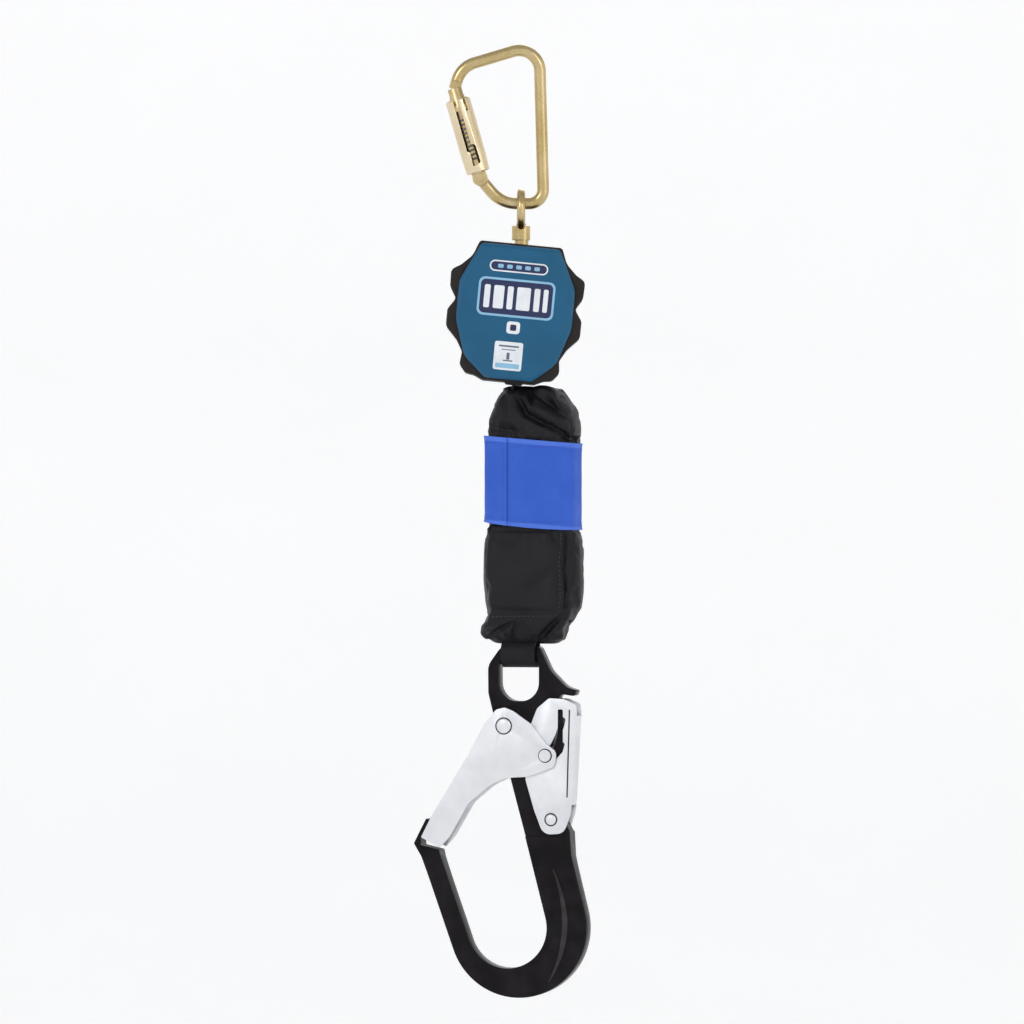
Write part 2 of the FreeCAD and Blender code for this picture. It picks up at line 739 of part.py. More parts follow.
def drum():
    """Shaft, hub, two flanges, wound webbing and the pin that anchors its end."""
    side = "webbing_width / 2 + webbing_side_gap"
    centre = across(0, 0, HOUSING)
    front_end = f"{drum_front()} - bracket_plate - bush_flange"
    rear_end = f"{drum_rear()} + bracket_plate + spring_width + 0.8"
    turned("drum_shaft", [("shaft_radius", front_end, rear_end)], [], centre)
    turned("drum_hub", [("hub_radius", f"-({side})", side)],
           [("shaft_radius", "-40", "40"), ("anchor_pin_radius", "-40", "40", 10.0, 0.0)], centre)
    turned("drum_flange_front", [("flange_radius", f"-({side}) - flange_thickness", f"-({side})")],
           [("shaft_radius", "-40", "40"), ("anchor_pin_radius", "-40", "40", 10.0, 0.0)], centre)
    turned("drum_flange_rear", [("flange_radius", side, f"{side} + flange_thickness")],
           [("shaft_radius", "-40", "40"), ("anchor_pin_radius", "-40", "40", 10.0, 0.0)], centre)
    turned("wound_webbing", [("coil_radius", "-webbing_width / 2", "webbing_width / 2")],
           [("hub_radius", "-40", "40")], centre)
    turned("webbing_anchor_pin", [
        ("anchor_pin_radius", f"-({side}) - flange_thickness", f"{side} + flange_thickness", 10.0, 0.0)],
        [], centre)
    for label, low in (("shaft_bush_front", f"{drum_front()} - bracket_plate"),
                       ("shaft_bush_rear", drum_rear())):
        turned(label, [("shaft_radius + bush_wall", low, f"{low} + bracket_plate")],
               [("shaft_radius + running_gap", "-40", "40")], centre)


def pawls():
    """Two speed sensing pawls on pivots on the front flange, and the ratchet ring round them."""
    flange = "-(webbing_width / 2 + webbing_side_gap + flange_thickness)"
    face = f"{flange} - pawl_gap"
    back = f"{face} - pawl_thickness"
    reach = size("pawl_pivot_reach")
    for label, turn in (("pawl_a", 0), ("pawl_b", 180)):
        frame = HOUSING * Placement(Vector(), Rotation(Y_AXIS, turn))
        pivot = Vector(-6, 0, reach - 0.8)
        body = new_body(label, frame)
        arm = rounded([(pivot.x - 4.2, pivot.z - 2.5, 2.4), (pivot.x - 4.2, pivot.z + 4.2, 3.4),
                       (pivot.x + 8, pivot.z + 5.6, 8), (14.6, 26.2, 0.4), (15.8, 21.6, 1.2),
                       (6, pivot.z - 3.6, 6)])
        pad(body, arm, back, face, [(pivot.x, pivot.z, "pawl_pivot_radius + running_gap")])
        number = label[-1]
        recess = [(pivot.x, pivot.z, "pawl_pivot_radius + 1.2")]
        pocket(body, [], back, f"{back} + pawl_spring_recess", recess)
        pin_place = across(pivot.x, pivot.z, frame)
        turned(f"pawl_pivot_{number}", [("pawl_pivot_radius", f"{back} - 0.2", flange)], [], pin_place)
        coil(f"pawl_spring_{number}", "0.2", "pawl_pivot_radius + 0.6", "0.5", "0.6", pin_place,
             f"{back} + 0.25")
    ring = new_body("ratchet_ring", HOUSING)
    low = f"{drum_front()}"
    high = f"{drum_front()} + pawl_thickness + pawl_gap"
    pad(ring, [], low, high, [(0, 0, "ratchet_outer"), (0, 0, "ratchet_root")])
    half = size("tooth_angle") / 2
    count = int(size("ratchet_teeth"))
    root = size("ratchet_root") + 0.5
    tip = size("ratchet_tip")
    first = 66 + 180 / count
    tooth = [polar(root, first - half), polar(tip, first - half * 0.6), polar(tip, first + half * 0.6),
             polar(root, first + half)]
    feature = pad(ring, rounded([(point.x, point.z, 0) for point in tooth]), low, high)
    pattern = ring.newObject("PartDesign::PolarPattern", "ratchet_teeth")
    pattern.Originals = [feature]
    pattern.Axis = (feature.Profile[0], ["N_Axis"])
    pattern.Angle = 360
    pattern.Occurrences = count
    ring.Tip = pattern
    document.recompute()


def retract_spring():
    """Spiral power spring in its cup behind the rear plate."""
    low = f"{drum_rear()} + bracket_plate"
    centre = across(0, 0, HOUSING)
    top = f"{housing_side()} - cover_thickness - case_wall - spring_case_gap"
    turned("spring_case", [("spring_case_radius", low, top)],
           [("spring_case_radius - spring_case_wall", f"{low} + 0.6", f"{top} + 1"),
            ("shaft_radius + 1", "-40", "40")], centre)
    turns = int(size("spring_turns"))
    start = size("shaft_radius")
    growth = (size("spring_outer") - start) / turns
    strip = size("spring_strip")
    steps = turns * 12
    inner = []
    outer = []
    for step in range(steps + 1):
        angle = 2 * math.pi * step / 12
        radius = start + growth * step / 12 + 0.05
        inner.append(Vector(radius * math.cos(angle), radius * math.sin(angle), 0))
        outer.append(Vector((radius + strip) * math.cos(angle), (radius + strip) * math.sin(angle), 0))
    curves = []
    for points in (inner, outer):
        curve = Part.BSplineCurve()
        curve.interpolate(points)
        curves.append(curve.toShape())
    ends = [Part.makeLine(inner[0], outer[0]), Part.makeLine(inner[-1], outer[-1])]
    face = Part.Face(Part.Wire(Part.__sortEdges__(curves + ends)))
    spring = document.addObject("Part::Feature", "retract_spring")
    spring.Shape = face.extrude(Vector(0, 0, size("spring_width")))
    spring.Placement = centre * Placement(Vector(0, 0, size(f"{low} + 1.0")), Rotation())
    keep(spring, "retract_spring")


def frame_fasteners():
    """Tie bolts across the bracket, in one node."""
    solids = []
    for side in (-1, 1):
        bolt = document.addObject("Part::MultiFuse", "tie_bolt")
        low = f"{drum_front()} - bracket_plate"
        high = f"{drum_rear()} + bracket_plate"
        bolt.Shapes = [cylinder("tie_bolt_radius", low, high),
                       cylinder("tie_bolt_radius + 1.6", f"{low} - 1.2", low),
                       cylinder("tie_bolt_radius + 1.6", high, f"{high} + 1.2")]
        bolt.Placement = across(side * size("tie_bolt_half"), size("tie_bolt_height"), HOUSING)
        solids.append(bolt)
    group = document.addObject("Part::Compound", "frame_tie_bolts")
    group.Links = solids
    keep(group, "frame_tie_bolts")


def webbing_exit():
    """Nozzle at the bottom of the case and the run of webbing from the coil through it."""
    middle = size("guide_x")
    half = size("guide_half_width")
    low = -size("cover_bottom + guide_drop")
    high = low + size("guide_length")
    body = new_body("webbing_guide", HOUSING)
    deep = "webbing_width / 2 + guide_gap + guide_wall"
    pad(body, box_outline(middle - half, middle + half, low, high, 1.5), f"-({deep})", deep)
    slot = size("webbing_thickness") / 2 + size("guide_gap") + 1.0
    pocket(body, box_outline(middle - slot, middle + slot, low - 5, high + 5),
           "-(webbing_width / 2 + guide_gap)", "webbing_width / 2 + guide_gap")

    lead = new_body("webbing_lead", HOUSING)
    centre_line = size("coil_radius + webbing_thickness / 2 + 0.35")
    mouth = Vector(middle, 0, high - 0.5)
    touch = tangent_point(mouth, Vector(), centre_line, -1)
    run = (touch - mouth).normalize()
    normal = Vector(run.z, 0, -run.x) * (size("webbing_thickness") / 2)
    thick = size("webbing_thickness") / 2
    outline = [touch + normal, touch - normal, mouth - normal + Vector(0, 0, 0.6),
               Vector(middle - thick, 0, low), Vector(middle + thick, 0, low),
               mouth + normal + Vector(0, 0, -0.4)]
    pad(lead, rounded([(point.x, point.z, 0) for point in outline]),
        "-webbing_width / 2", "webbing_width / 2")


# ---------------------------------------------------------------- energy absorber pack

def pack_outline():
    """Front outline of the soft pack: narrow neck, full body and a folded hem."""
    left = size("pack_left")
    right = size("pack_right")
    return rounded([
        (-11, -238.6, 2), (left + 5, -262, 20), (left, -290, 30), (left, -400, 10),
        (left + 5, -419.5, 4), (-10, -421.5, 3), (16, -424, 3), (right - 12, -419.5, 4),
        (right - 3, -403, 12), (right, -375, 30), (right, -275, 20), (right - 7, -252, 12),
        (right - 17, -239.6, 6), (8, -238.6, 4)])


def absorber():
    """Soft pouch round a folded tear webbing core, its wrap band and the two webbing tails."""
    depth = "pack_depth / 2"
    half = size(depth)
    left = size("pack_left")
    right = size("pack_right")
    body = new_body("absorber_pouch", PACK)
    pad(body, pack_outline(), f"-{depth}", depth)
    around = box_outline(-60, 80, -50, 50)
    pocket(body, around + box_outline(left, right, -half, half, size("pack_corner")), "-430", "-230",
           (), "XY_Plane")
    side = rounded([(-9, -230, 0), (-9, -240, 4), (-half, -268, 30), (-half, -396, 30), (-12, -430, 0),
                    (12, -430, 0), (half, -396, 30), (half, -268, 30), (9, -240, 4), (9, -230, 0)])
    pocket(body, box_outline(-50, 50, -440, -220) + side, "-40", "60", (), "YZ_Plane")
    core = [size(alias) for alias in ("core_left", "core_right", "core_low", "core_high")]
    gap = size("core_gap")
    pocket(body, box_outline(core[0] - gap, core[1] + gap, core[2] - gap, core[3] + gap, 4),
           "-core_depth / 2 - core_gap", "core_depth / 2 + core_gap")
    tail = GUIDE_MOUTH.x
    thick = size("webbing_thickness / 2")
    pocket(body, box_outline(tail - thick - gap, tail + thick + gap, core[3] - 1, -230),
           "-webbing_width / 2 - core_gap", "webbing_width / 2 + core_gap")
    pocket(body, [], "-strap_width / 2 - 5", "strap_width / 2 + 5",
           [(0, size("hook_eye_z + eye_bar_rise"), "loop_inner + loop_thickness + 0.4")], "YZ_Plane")
    strap = size("strap_width / 2 + core_gap")
    pocket(body, box_outline(-strap, strap, -430, core[2] + 1),
           "-loop_thickness - core_gap", "loop_thickness + core_gap")

    pack = new_body("absorber_core", PACK)
    pad(pack, box_outline(*core, 4), "-core_depth / 2", "core_depth / 2")

    wrap = new_body("wrap_band", PACK)
    thickness = size("wrap_thickness")
    corner = size("pack_corner")
    outer = box_outline(left - thickness, right + thickness, -half - thickness, half + thickness,
                        corner + thickness)
    pad(wrap, outer + box_outline(left, right, -half, half, corner), "wrap_low", "wrap_high", (),
        "XY_Plane")

    webbing = new_body("webbing_tail", PACK)
    pad(webbing, box_outline(tail - thick, tail + thick, core[3], -238.0),
        "-webbing_width / 2", "webbing_width / 2")

    bar = Placement(Vector(0, 0, size("hook_eye_z + eye_bar_rise")), Rotation())
    loop = new_body("hook_loop", PACK * bar)
    outer_radius = "loop_inner + loop_thickness"
    reach = size(outer_radius)
    top = size("core_low - hook_eye_z - eye_bar_rise")
    half = size("loop_thickness")
    pad(loop, [], "-strap_width / 2", "strap_width / 2", [(0, 0, outer_radius)], "YZ_Plane")
    pad(loop, box_outline(-half, half, reach - 3, top), "-strap_width / 2", "strap_width / 2", (),
        "YZ_Plane")
    pocket(loop, [], "-strap_width / 2 - 1", "strap_width / 2 + 1", [(0, 0, "loop_inner")], "YZ_Plane")


# ---------------------------------------------------------------- rebar hook

GATE_PIVOT = Vector(-10.2, 0, -31.5)
LATCH_SPOT = Vector(20.6, 0, -52.6)
LEVER_PIVOT = Vector(24.4, 0, -98.5)


def turned_about(point, centre, degrees):
    """The point turned about a centre, anticlockwise as the front is seen."""
    arm = point - centre
    angle = math.radians(degrees)
    return centre + Vector(arm.x * math.cos(angle) - arm.z * math.sin(angle), 0,
                           arm.x * math.sin(angle) + arm.z * math.cos(angle))


def hook_body():
    """Forged hook: eye, horn, slotted shank, bowl and prong."""
    body = new_body("hook_body", HOOK)
    bowl_centre = Vector(-8.8, 0, -176.4)
    outer_centre = Vector(-0.6, 0, -175.9)
    spine = Vector(-6.0, 0, -69.5)
    arm_inner = Vector(-58.0, 0, -126.2)
    arm_outer = Vector(-72.3, 0, -126.2)
    heel = Vector(38.3, 0, -106.9)
    inner = size("bowl_inner_radius")
    outer = size("bowl_outer_radius")
    spine_end = tangent_point(spine, bowl_centre, inner, 1)
    arm_end = tangent_point(arm_inner, bowl_centre, inner, -1)
    heel_end = tangent_point(Vector(39.2, 0, -124.3), outer_centre, outer, 1)
    outer_end = tangent_point(arm_outer, outer_centre, outer, -1)
    shank_half = "hook_thickness / 2"

    upper = rounded([
        (-12.6, 26, 9), (-22.8, 12, 12), (-22.6, -8, 14), (-18.6, -24, 6), (-18.1, -35, 5),
        (-6.0, -69.5, 0), (7.9, -121, 0), (38.6, -121, 0), (38.3, -107.4, 2), (33.8, -99, 3),
        (32.8, -21.9, 6), (28.0, -8.0, 3), (41.0, -9.8, 1.6), (42.7, -5.6, 1.2), (34.5, -3.2, 14),
        (23.0, 8.5, 14), (14.8, 26, 5)])
    pad(body, upper, f"-{shank_half}", shank_half)
    hole = size("eye_hole_width") / 2
    eye = rounded([(-hole, 14, 4), (hole, 14, 4), (hole, -13.75, 13.5), (-hole, -13.75, 13.5)])
    pocket(body, eye, f"-{shank_half}", shank_half)

    bowl_half = "bowl_thickness / 2"
    low_inner = flat(bowl_centre + Vector(0, 0, -inner))
    low_outer = flat(outer_centre + Vector(0, 0, -outer))
    shoulder = -111.0
    throat = spine + (spine_end - spine) * ((shoulder - spine.z) / (spine_end.z - spine.z))
    corners = [arm_end, arm_inner, Vector(-59.1, 0, -121.2), Vector(-77.9, 0, -116.8), arm_outer, outer_end]
    back = [heel_end, Vector(39.2, 0, -124.3), heel, Vector(34.5, 0, shoulder), throat, spine_end]
    edges = [Part.Arc(flat(spine_end), low_inner, flat(arm_end)),
             Part.Arc(flat(outer_end), low_outer, flat(heel_end))]
    for run in (corners, back):
        edges += [Part.LineSegment(flat(first), flat(second)) for first, second in zip(run, run[1:])]
    pad(body, edges, f"-{bowl_half}", bowl_half)
    lip = rounded([(-72.6, -119.5, 0), (-77.9, -116.8, 0.8), (-68.6, -98.6, 1.0), (-66.4, -99.6, 0.6),
                   (-72.8, -112.2, 0)])
    pad(body, lip, f"-{bowl_half}", bowl_half)
    rise = size("eye_bar_rise")
    bar = size("eye_bar / 2")
    around = box_outline(-2 * bar, 2 * bar, rise - 11, rise + 12)
    frame = around + box_outline(-bar, bar, rise - bar, rise + bar, size("eye_bar_corner"))
    pocket(body, frame, "-strap_width / 2 - 0.6", "strap_width / 2 + 0.6", (), "YZ_Plane")

    start = turned_about(LATCH_SPOT, GATE_PIVOT, -3)
    middle = turned_about(LATCH_SPOT, GATE_PIVOT, size("hook_gate_travel") / 2)
    end = turned_about(LATCH_SPOT, GATE_PIVOT, size("hook_gate_travel") + 2)
    wide = size("latch_pin_radius + latch_clearance")
    pocket(body, slot_outline(flat(start), flat(middle), flat(end), wide), "-9", "9")
    pocket(body, [], "-9", "9", [(GATE_PIVOT.x, GATE_PIVOT.z, "gate_rivet_radius")])
    pocket(body, [], "-9", "9", [(LEVER_PIVOT.x, LEVER_PIVOT.z, "lever_rivet_radius")])
    pocket(body, [], "1.6", "9", [(GATE_PIVOT.x, GATE_PIVOT.z, "gate_rivet_radius + 1.9")])
    pocket(body, [], "1.6", "9", [(LEVER_PIVOT.x, LEVER_PIVOT.z, "lever_rivet_radius + 1.9")])
    return body


def channel(label, plate, web, bores, gap_inner):
    """Two cheek plates and the web that joins them, bent from one sheet."""
    body = new_body(label, HOOK)
    outer = f"{gap_inner} + hook_plate"
    pad(body, plate, f"-({outer})", f"-({gap_inner})", bores)
    pad(body, plate, gap_inner, outer, bores)
    pad(body, web, f"-({gap_inner}) - 0.01", f"{gap_inner} + 0.01")
    return body


def lever_plane():
    """Inner face of the lever's plates."""
    return "hook_thickness / 2 + lever_gap"


def gate_plane():
    """Inner face of the gate's plates."""
    return "hook_thickness / 2 + lever_gap + hook_plate + gate_plate_gap"


def hook_gate():
    """Outer channel that closes the throat, turning on the gate rivet."""
    thick = size("hook_plate")
    plate = rounded([
        (-71.9, -112.2, 1), (-64.1, -96.9, 20), (-36.7, -52.6, 60), (-24.7, -30.4, 8), (-15.9, -19.8, 4),
        (-9.4, -18.2, 5), (-2.9, -20.9, 3), (10.3, -30.0, 2), (21.2, -43.9, 3), (29.1, -50.0, 5),
        (27.4, -60.5, 5), (16.9, -64.7, 4), (6.9, -67.9, 8), (-9.4, -68.9, 14), (-21.5, -74.7, 14),
        (-36.7, -87.3, 14), (-50.9, -111.8, 10), (-58.1, -119.6, 1)])
    spots = [(GATE_PIVOT.x, GATE_PIVOT.z, "gate_rivet_radius + running_gap"),
             (LATCH_SPOT.x, LATCH_SPOT.z, "latch_pin_radius")]
    edge = [Vector(-71.1, 0, -110.6), Vector(-64.1, 0, -96.9), Vector(-36.7, 0, -52.6),
            Vector(-27.0, 0, -34.6)]
    inside = [point + Vector(thick * 0.88, 0, -thick * 0.5) for point in reversed(edge)]
    web = rounded([(point.x, point.z, 0) for point in edge + inside])
    channel("hook_gate", plate, web, spots, gate_plane())


def lock_lever():
    """Inner channel pressed by the palm; its cam slot works the latch pin."""
    thick = size("hook_plate")
    plate = rounded([
        (9.8, -29.5, 2), (14.2, -18.7, 3), (22.9, -11.4, 4), (33.9, -11.9, 2), (42.6, -15.6, 2.5),
        (43.4, -21.9, 2), (39.3, -91.1, 2), (38.6, -95.0, 2), (33.8, -108.4, 7), (18.7, -109.4, 8),
        (11.9, -91.7, 10), (5.4, -69.5, 8)])
    web = box_on_line(Vector(43.2, 0, -24.0), Vector(39.4, 0, -88.0), thick)
    spots = [(LEVER_PIVOT.x, LEVER_PIVOT.z, "lever_rivet_radius + running_gap")]
    body = channel("lock_lever", plate, web, spots, lever_plane())
    travel = size("hook_gate_travel")
    ratio = size("lever_ratio")
    path = []
    for degrees in (-3, travel / 2, travel + 2):
        world = turned_about(LATCH_SPOT, GATE_PIVOT, degrees)
        path.append(flat(turned_about(world, LEVER_PIVOT, -ratio * degrees)))
    wide = size("latch_pin_radius + latch_clearance")
    pocket(body, slot_outline(*path, wide), "-12", "12")
    half = size("lever_slot_half")
    notch = 31.4
    pocket(body, rounded([(notch - half, -19.3, 1.2), (notch + half, -19.3, 1.2), (notch + half, -43, 0.5),
                          (notch + 3.4, -44, 1), (notch + 1.6, -50, 3), (notch - 5, -57.0, 1),
                          (notch - 4.4, -44.0, 1), (notch - half, -40.9, 0.8)]), "-12", "12")


def box_on_line(start, end, thickness):
    """Closed strip of a thickness to the left of a line going down."""
    inward = Vector(-thickness, 0, 0)
    points = [start, end, end + inward, start + inward]
    return rounded([(point.x, point.z, 0) for point in points])


def hook_pins():
    """Gate rivet, lever rivet, latch pin and the two torsion springs."""
    outer = f"{gate_plane()} + hook_plate"
    lever_outer = f"{lever_plane()} + hook_plate"
    for label, spot, radius, head, face in (
            ("hook_gate_rivet", GATE_PIVOT, "gate_rivet_radius", "gate_rivet_head", outer),
            ("hook_lever_rivet", LEVER_PIVOT, "lever_rivet_radius", "lever_rivet_head", lever_outer),
            ("latch_pin", LATCH_SPOT, "latch_pin_radius", "latch_pin_head", outer)):
        gap = "0.05" if label != "latch_pin" else "0"
        turned(label, [
            (radius, f"-({face}) - rivet_rise", f"{face} + rivet_rise"),
            (head, f"-({face}) - rivet_rise", f"-({face}) - {gap}"),
            (head, f"{face} + {gap}", f"{face} + rivet_rise")], [], across(spot.x, spot.z, HOOK))
    for label, spot, radius in (("hook_gate_spring", GATE_PIVOT, "gate_rivet_radius"),
                                ("hook_lever_spring", LEVER_PIVOT, "lever_rivet_radius")):
        coil(label, "0.45", f"{radius} + 1.0", "1.2", "3.0", across(spot.x, spot.z, HOOK), "2.2")


carabiner_frame()
carabiner_gate()
carabiner_small_parts()
lock_sleeve()
swivel()
housing_shells()
case_screws()
load_frame()
drum()
pawls()
retract_spring()
frame_fasteners()
webbing_exit()
absorber()
hook_body()
hook_gate()
lock_lever()
hook_pins()

document.recompute()
faults = [item.Label for item in document.Objects if {"Invalid", "Error"} & set(item.State)]
faults += [part.Label for part in PARTS if part.Shape.isNull() or not part.Shape.isValid()]
if faults:
    raise RuntimeError(f"failed objects: {faults}")
os.makedirs("parts", exist_ok=True)
for part in PARTS:
    part.Shape.exportStep(f"parts/{part.Label}.step")
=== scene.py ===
import json
import logging
import math
from dataclasses import dataclass, field
from enum import Enum
from typing import Callable, Iterable, Sequence

import bmesh
import bpy
from bmesh.types import BMEdge, BMFace, BMVert
from mathutils import Matrix, Vector
from mathutils.bvhtree import BVHTree

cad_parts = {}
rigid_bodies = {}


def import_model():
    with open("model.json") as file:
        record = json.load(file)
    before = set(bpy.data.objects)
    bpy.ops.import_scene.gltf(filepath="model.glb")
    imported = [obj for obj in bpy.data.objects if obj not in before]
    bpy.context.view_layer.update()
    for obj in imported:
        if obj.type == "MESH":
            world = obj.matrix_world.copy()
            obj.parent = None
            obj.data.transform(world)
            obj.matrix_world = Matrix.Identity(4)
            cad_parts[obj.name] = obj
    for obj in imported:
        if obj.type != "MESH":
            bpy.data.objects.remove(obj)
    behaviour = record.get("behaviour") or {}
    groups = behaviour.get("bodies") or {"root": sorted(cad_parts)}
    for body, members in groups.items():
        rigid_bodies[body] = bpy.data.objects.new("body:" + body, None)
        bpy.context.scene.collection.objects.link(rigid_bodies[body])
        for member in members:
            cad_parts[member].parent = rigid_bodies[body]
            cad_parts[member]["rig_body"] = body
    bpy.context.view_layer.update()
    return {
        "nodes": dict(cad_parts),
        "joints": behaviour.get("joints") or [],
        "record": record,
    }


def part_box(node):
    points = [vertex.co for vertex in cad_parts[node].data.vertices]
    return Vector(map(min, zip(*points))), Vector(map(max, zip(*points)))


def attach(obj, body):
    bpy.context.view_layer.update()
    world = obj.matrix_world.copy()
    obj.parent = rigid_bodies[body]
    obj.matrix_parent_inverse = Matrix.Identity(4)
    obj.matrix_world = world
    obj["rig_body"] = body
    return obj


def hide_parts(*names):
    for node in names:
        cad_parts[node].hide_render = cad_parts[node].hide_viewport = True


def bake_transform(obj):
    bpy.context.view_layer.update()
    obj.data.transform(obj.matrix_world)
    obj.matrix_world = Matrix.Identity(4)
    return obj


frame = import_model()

MILLI = 0.001
log = logging.getLogger("lifeline")

Colour = tuple[float, float, float]
Corner = tuple[float, float, float]


# --- shader graph

class Graph:
    """The node tree of one material, with short calls for the nodes that the finishes share."""

    def __init__(self, name: str) -> None:
        """Starts a material with an empty tree.

        Args:
            name: The material's name.
        """
        self.material = bpy.data.materials.new(name)
        self.material.use_nodes = True
        self.tree = self.material.node_tree
        self.tree.nodes.clear()
        self.shader = self.add("ShaderNodeBsdfPrincipled")
        self.add("ShaderNodeOutputMaterial", {"Surface": self.shader.outputs[0]})

    def add(self, kind: str, inputs: dict | None = None, **settings: object) -> bpy.types.Node:
        """Adds one node.

        Args:
            kind: The node's type name.
            inputs: Values or sockets for its inputs, by name or number.
            settings: Properties of the node itself.

        Returns:
            The new node.
        """
        node = self.tree.nodes.new(kind)
        for label, setting in settings.items():
            setattr(node, label, setting)
        for label, given in (inputs or {}).items():
            if isinstance(given, bpy.types.NodeSocket):
                self.tree.links.new(given, node.inputs[label])
            else:
                node.inputs[label].default_value = given
        return node

    def maths(self, operation: str, *terms: object) -> bpy.types.NodeSocket:
        """One Math node over the terms, which are numbers or sockets."""
        return self.add("ShaderNodeMath", dict(enumerate(terms)), operation=operation).outputs[0]

    def times(self, first: object, second: object) -> bpy.types.NodeSocket:
        """The product of two numbers or sockets."""
        return self.maths("MULTIPLY", first, second)

    def plus(self, first: object, second: object) -> bpy.types.NodeSocket:
        """The sum of two numbers or sockets."""
        return self.maths("ADD", first, second)

    def place(self) -> bpy.types.NodeSocket:
        """Object coordinates, in metres."""
        return self.add("ShaderNodeTexCoord").outputs["Object"]

    def stretched(self, scale: Sequence[float], turn: Sequence[float] = (0, 0, 0)) -> bpy.types.NodeSocket:
        """Object coordinates, turned by radians about each axis and then scaled along it."""
        turned = self.add("ShaderNodeMapping", {"Vector": self.place(), "Rotation": turn})
        return self.add("ShaderNodeMapping", {"Vector": turned.outputs[0], "Scale": scale}).outputs[0]

    def noise(self, scale: float, detail: float = 3.0, vector: bpy.types.NodeSocket | None = None,
              rough: float = 0.55) -> bpy.types.NodeSocket:
        """The value of a noise texture, its scale in cells a metre, on Object coordinates by default."""
        return self.add("ShaderNodeTexNoise", {"Vector": vector or self.place(), "Scale": scale,
                                               "Detail": detail, "Roughness": rough}).outputs[0]

    def ramp(self, value: bpy.types.NodeSocket, low: float, high: float, start: float = 0.0,
             end: float = 1.0) -> bpy.types.NodeSocket:
        """Maps a value, clamped, from the range low to high on to the range start to end."""
        return self.add("ShaderNodeMapRange", {0: value, 1: low, 2: high, 3: start, 4: end}).outputs[0]

    def blend(self, factor: object, first: object, second: object) -> bpy.types.NodeSocket:
        """Mixes two colours: the first where the factor is 0, the second where it is 1."""
        pair = [tuple(shade) + (1.0,) if isinstance(shade, tuple) else shade for shade in (first, second)]
        return self.add("ShaderNodeMix", {0: factor, 6: pair[0], 7: pair[1]}, data_type="RGBA").outputs[2]

    def bump(self, height: bpy.types.NodeSocket, depth: float, strength: float = 1.0,
             below: bpy.types.NodeSocket | None = None) -> bpy.types.NodeSocket:
        """A bump over the surface or over another bump.

        Args:
            height: The height, from 0 to 1.
            depth: The depth that 1 stands for, in metres.
            strength: How much of it is used.
            below: The normal that it is laid on.

        Returns:
            The bumped normal.
        """
        inputs = {"Height": height, "Distance": depth, "Strength": strength}
        if below is not None:
            inputs["Normal"] = below
        return self.add("ShaderNodeBump", inputs).outputs[0]

    def worn_edge(self, radius: float, low: float = 0.02, high: float = 0.2) -> bpy.types.NodeSocket:
        """How close a point is to a sharp edge, broken up by noise.

        Args:
            radius: How far from the edge it reaches, in metres.
            low: Rounding below this shows no wear.
            high: Rounding above this is fully worn.

        Returns:
            The share of wear.
        """
        rounded = self.rounded_normal(radius)
        straight = self.add("ShaderNodeNewGeometry").outputs["Normal"]
        facing = self.add("ShaderNodeVectorMath", {0: rounded, 1: straight}, operation="DOT_PRODUCT")
        turned = self.maths("SUBTRACT", 1.0, facing.outputs["Value"])
        patches = self.ramp(self.noise(260, 5), 0.42, 0.62)
        return self.times(self.ramp(turned, low, high), patches)

    def rounded_normal(self, radius: float) -> bpy.types.NodeSocket:
        """The surface's normal with its sharp edges rounded off."""
        return self.add("ShaderNodeBevel", {"Radius": radius}, samples=6).outputs[0]

    def set(self, **values: object) -> None:
        """Sets the shader's inputs; an underscore in a name stands for a space."""
        for label, given in values.items():
            socket = self.shader.inputs[label.replace("_", " ")]
            if isinstance(given, bpy.types.NodeSocket):
                self.tree.links.new(given, socket)
            else:
                socket.default_value = tuple(given) + (1.0,) if isinstance(given, tuple) else given


# --- finishes

@dataclass(frozen=True)
class Finish:
    """What every finish has: the record's slot that it stands for, and its main colour."""
    slot: str
    colour: Colour

    def paint(self, graph: Graph) -> None:
        """Wires the finish into a material's graph."""
        raise NotImplementedError

    def shade(self, factor: float, lift: float = 0.0) -> Colour:
        """The main colour, made darker or paler."""
        return tuple(part * factor + lift for part in self.colour)

    def material(self) -> bpy.types.Material:
        """The finish's material, made once and then shared."""
        shade = "_".join(f"{part * 999:.0f}" for part in self.colour)
        name = f"{self.slot}.{shade}"
        if name not in bpy.data.materials:
            self.paint(Graph(name))
        return bpy.data.materials[name]


@dataclass(frozen=True)
class PlatedMetal(Finish):
    """Plated or bare metal: cloudy colour, fine drawn scratches and bright rubbed edges."""
    tint: Colour = (0.5, 0.5, 0.5)
    rubbed: Colour = (0.8, 0.8, 0.8)
    roughness: float = 0.3
    scratches: float = 0.3
    edge: float = 0.0008

    def paint(self, graph: Graph) -> None:
        """Wires the finish.

        Args:
            graph: The material's graph.
        """
        clouds = graph.ramp(graph.noise(38, 5), 0.35, 0.68)
        grain = graph.noise(220, 4, graph.stretched((9, 9, 0.8), (0.3, 0.5, 0.2)))
        specks = graph.ramp(graph.noise(900, 2), 0.62, 0.75)
        base = graph.blend(clouds, self.colour, self.tint)
        base = graph.blend(graph.times(specks, 0.25), base, self.rubbed)
        base = graph.blend(graph.worn_edge(self.edge), base, self.rubbed)
        dull = graph.ramp(grain, 0.3, 0.7, self.roughness * 0.75, self.roughness * 1.35)
        shine = graph.bump(grain, 0.00002, self.scratches, graph.rounded_normal(0.0003))
        graph.set(Base_Color=base, Metallic=1.0, Normal=graph.bump(clouds, 0.00006, 0.3, shine),
                  Roughness=graph.plus(dull, graph.times(clouds, 0.08)))


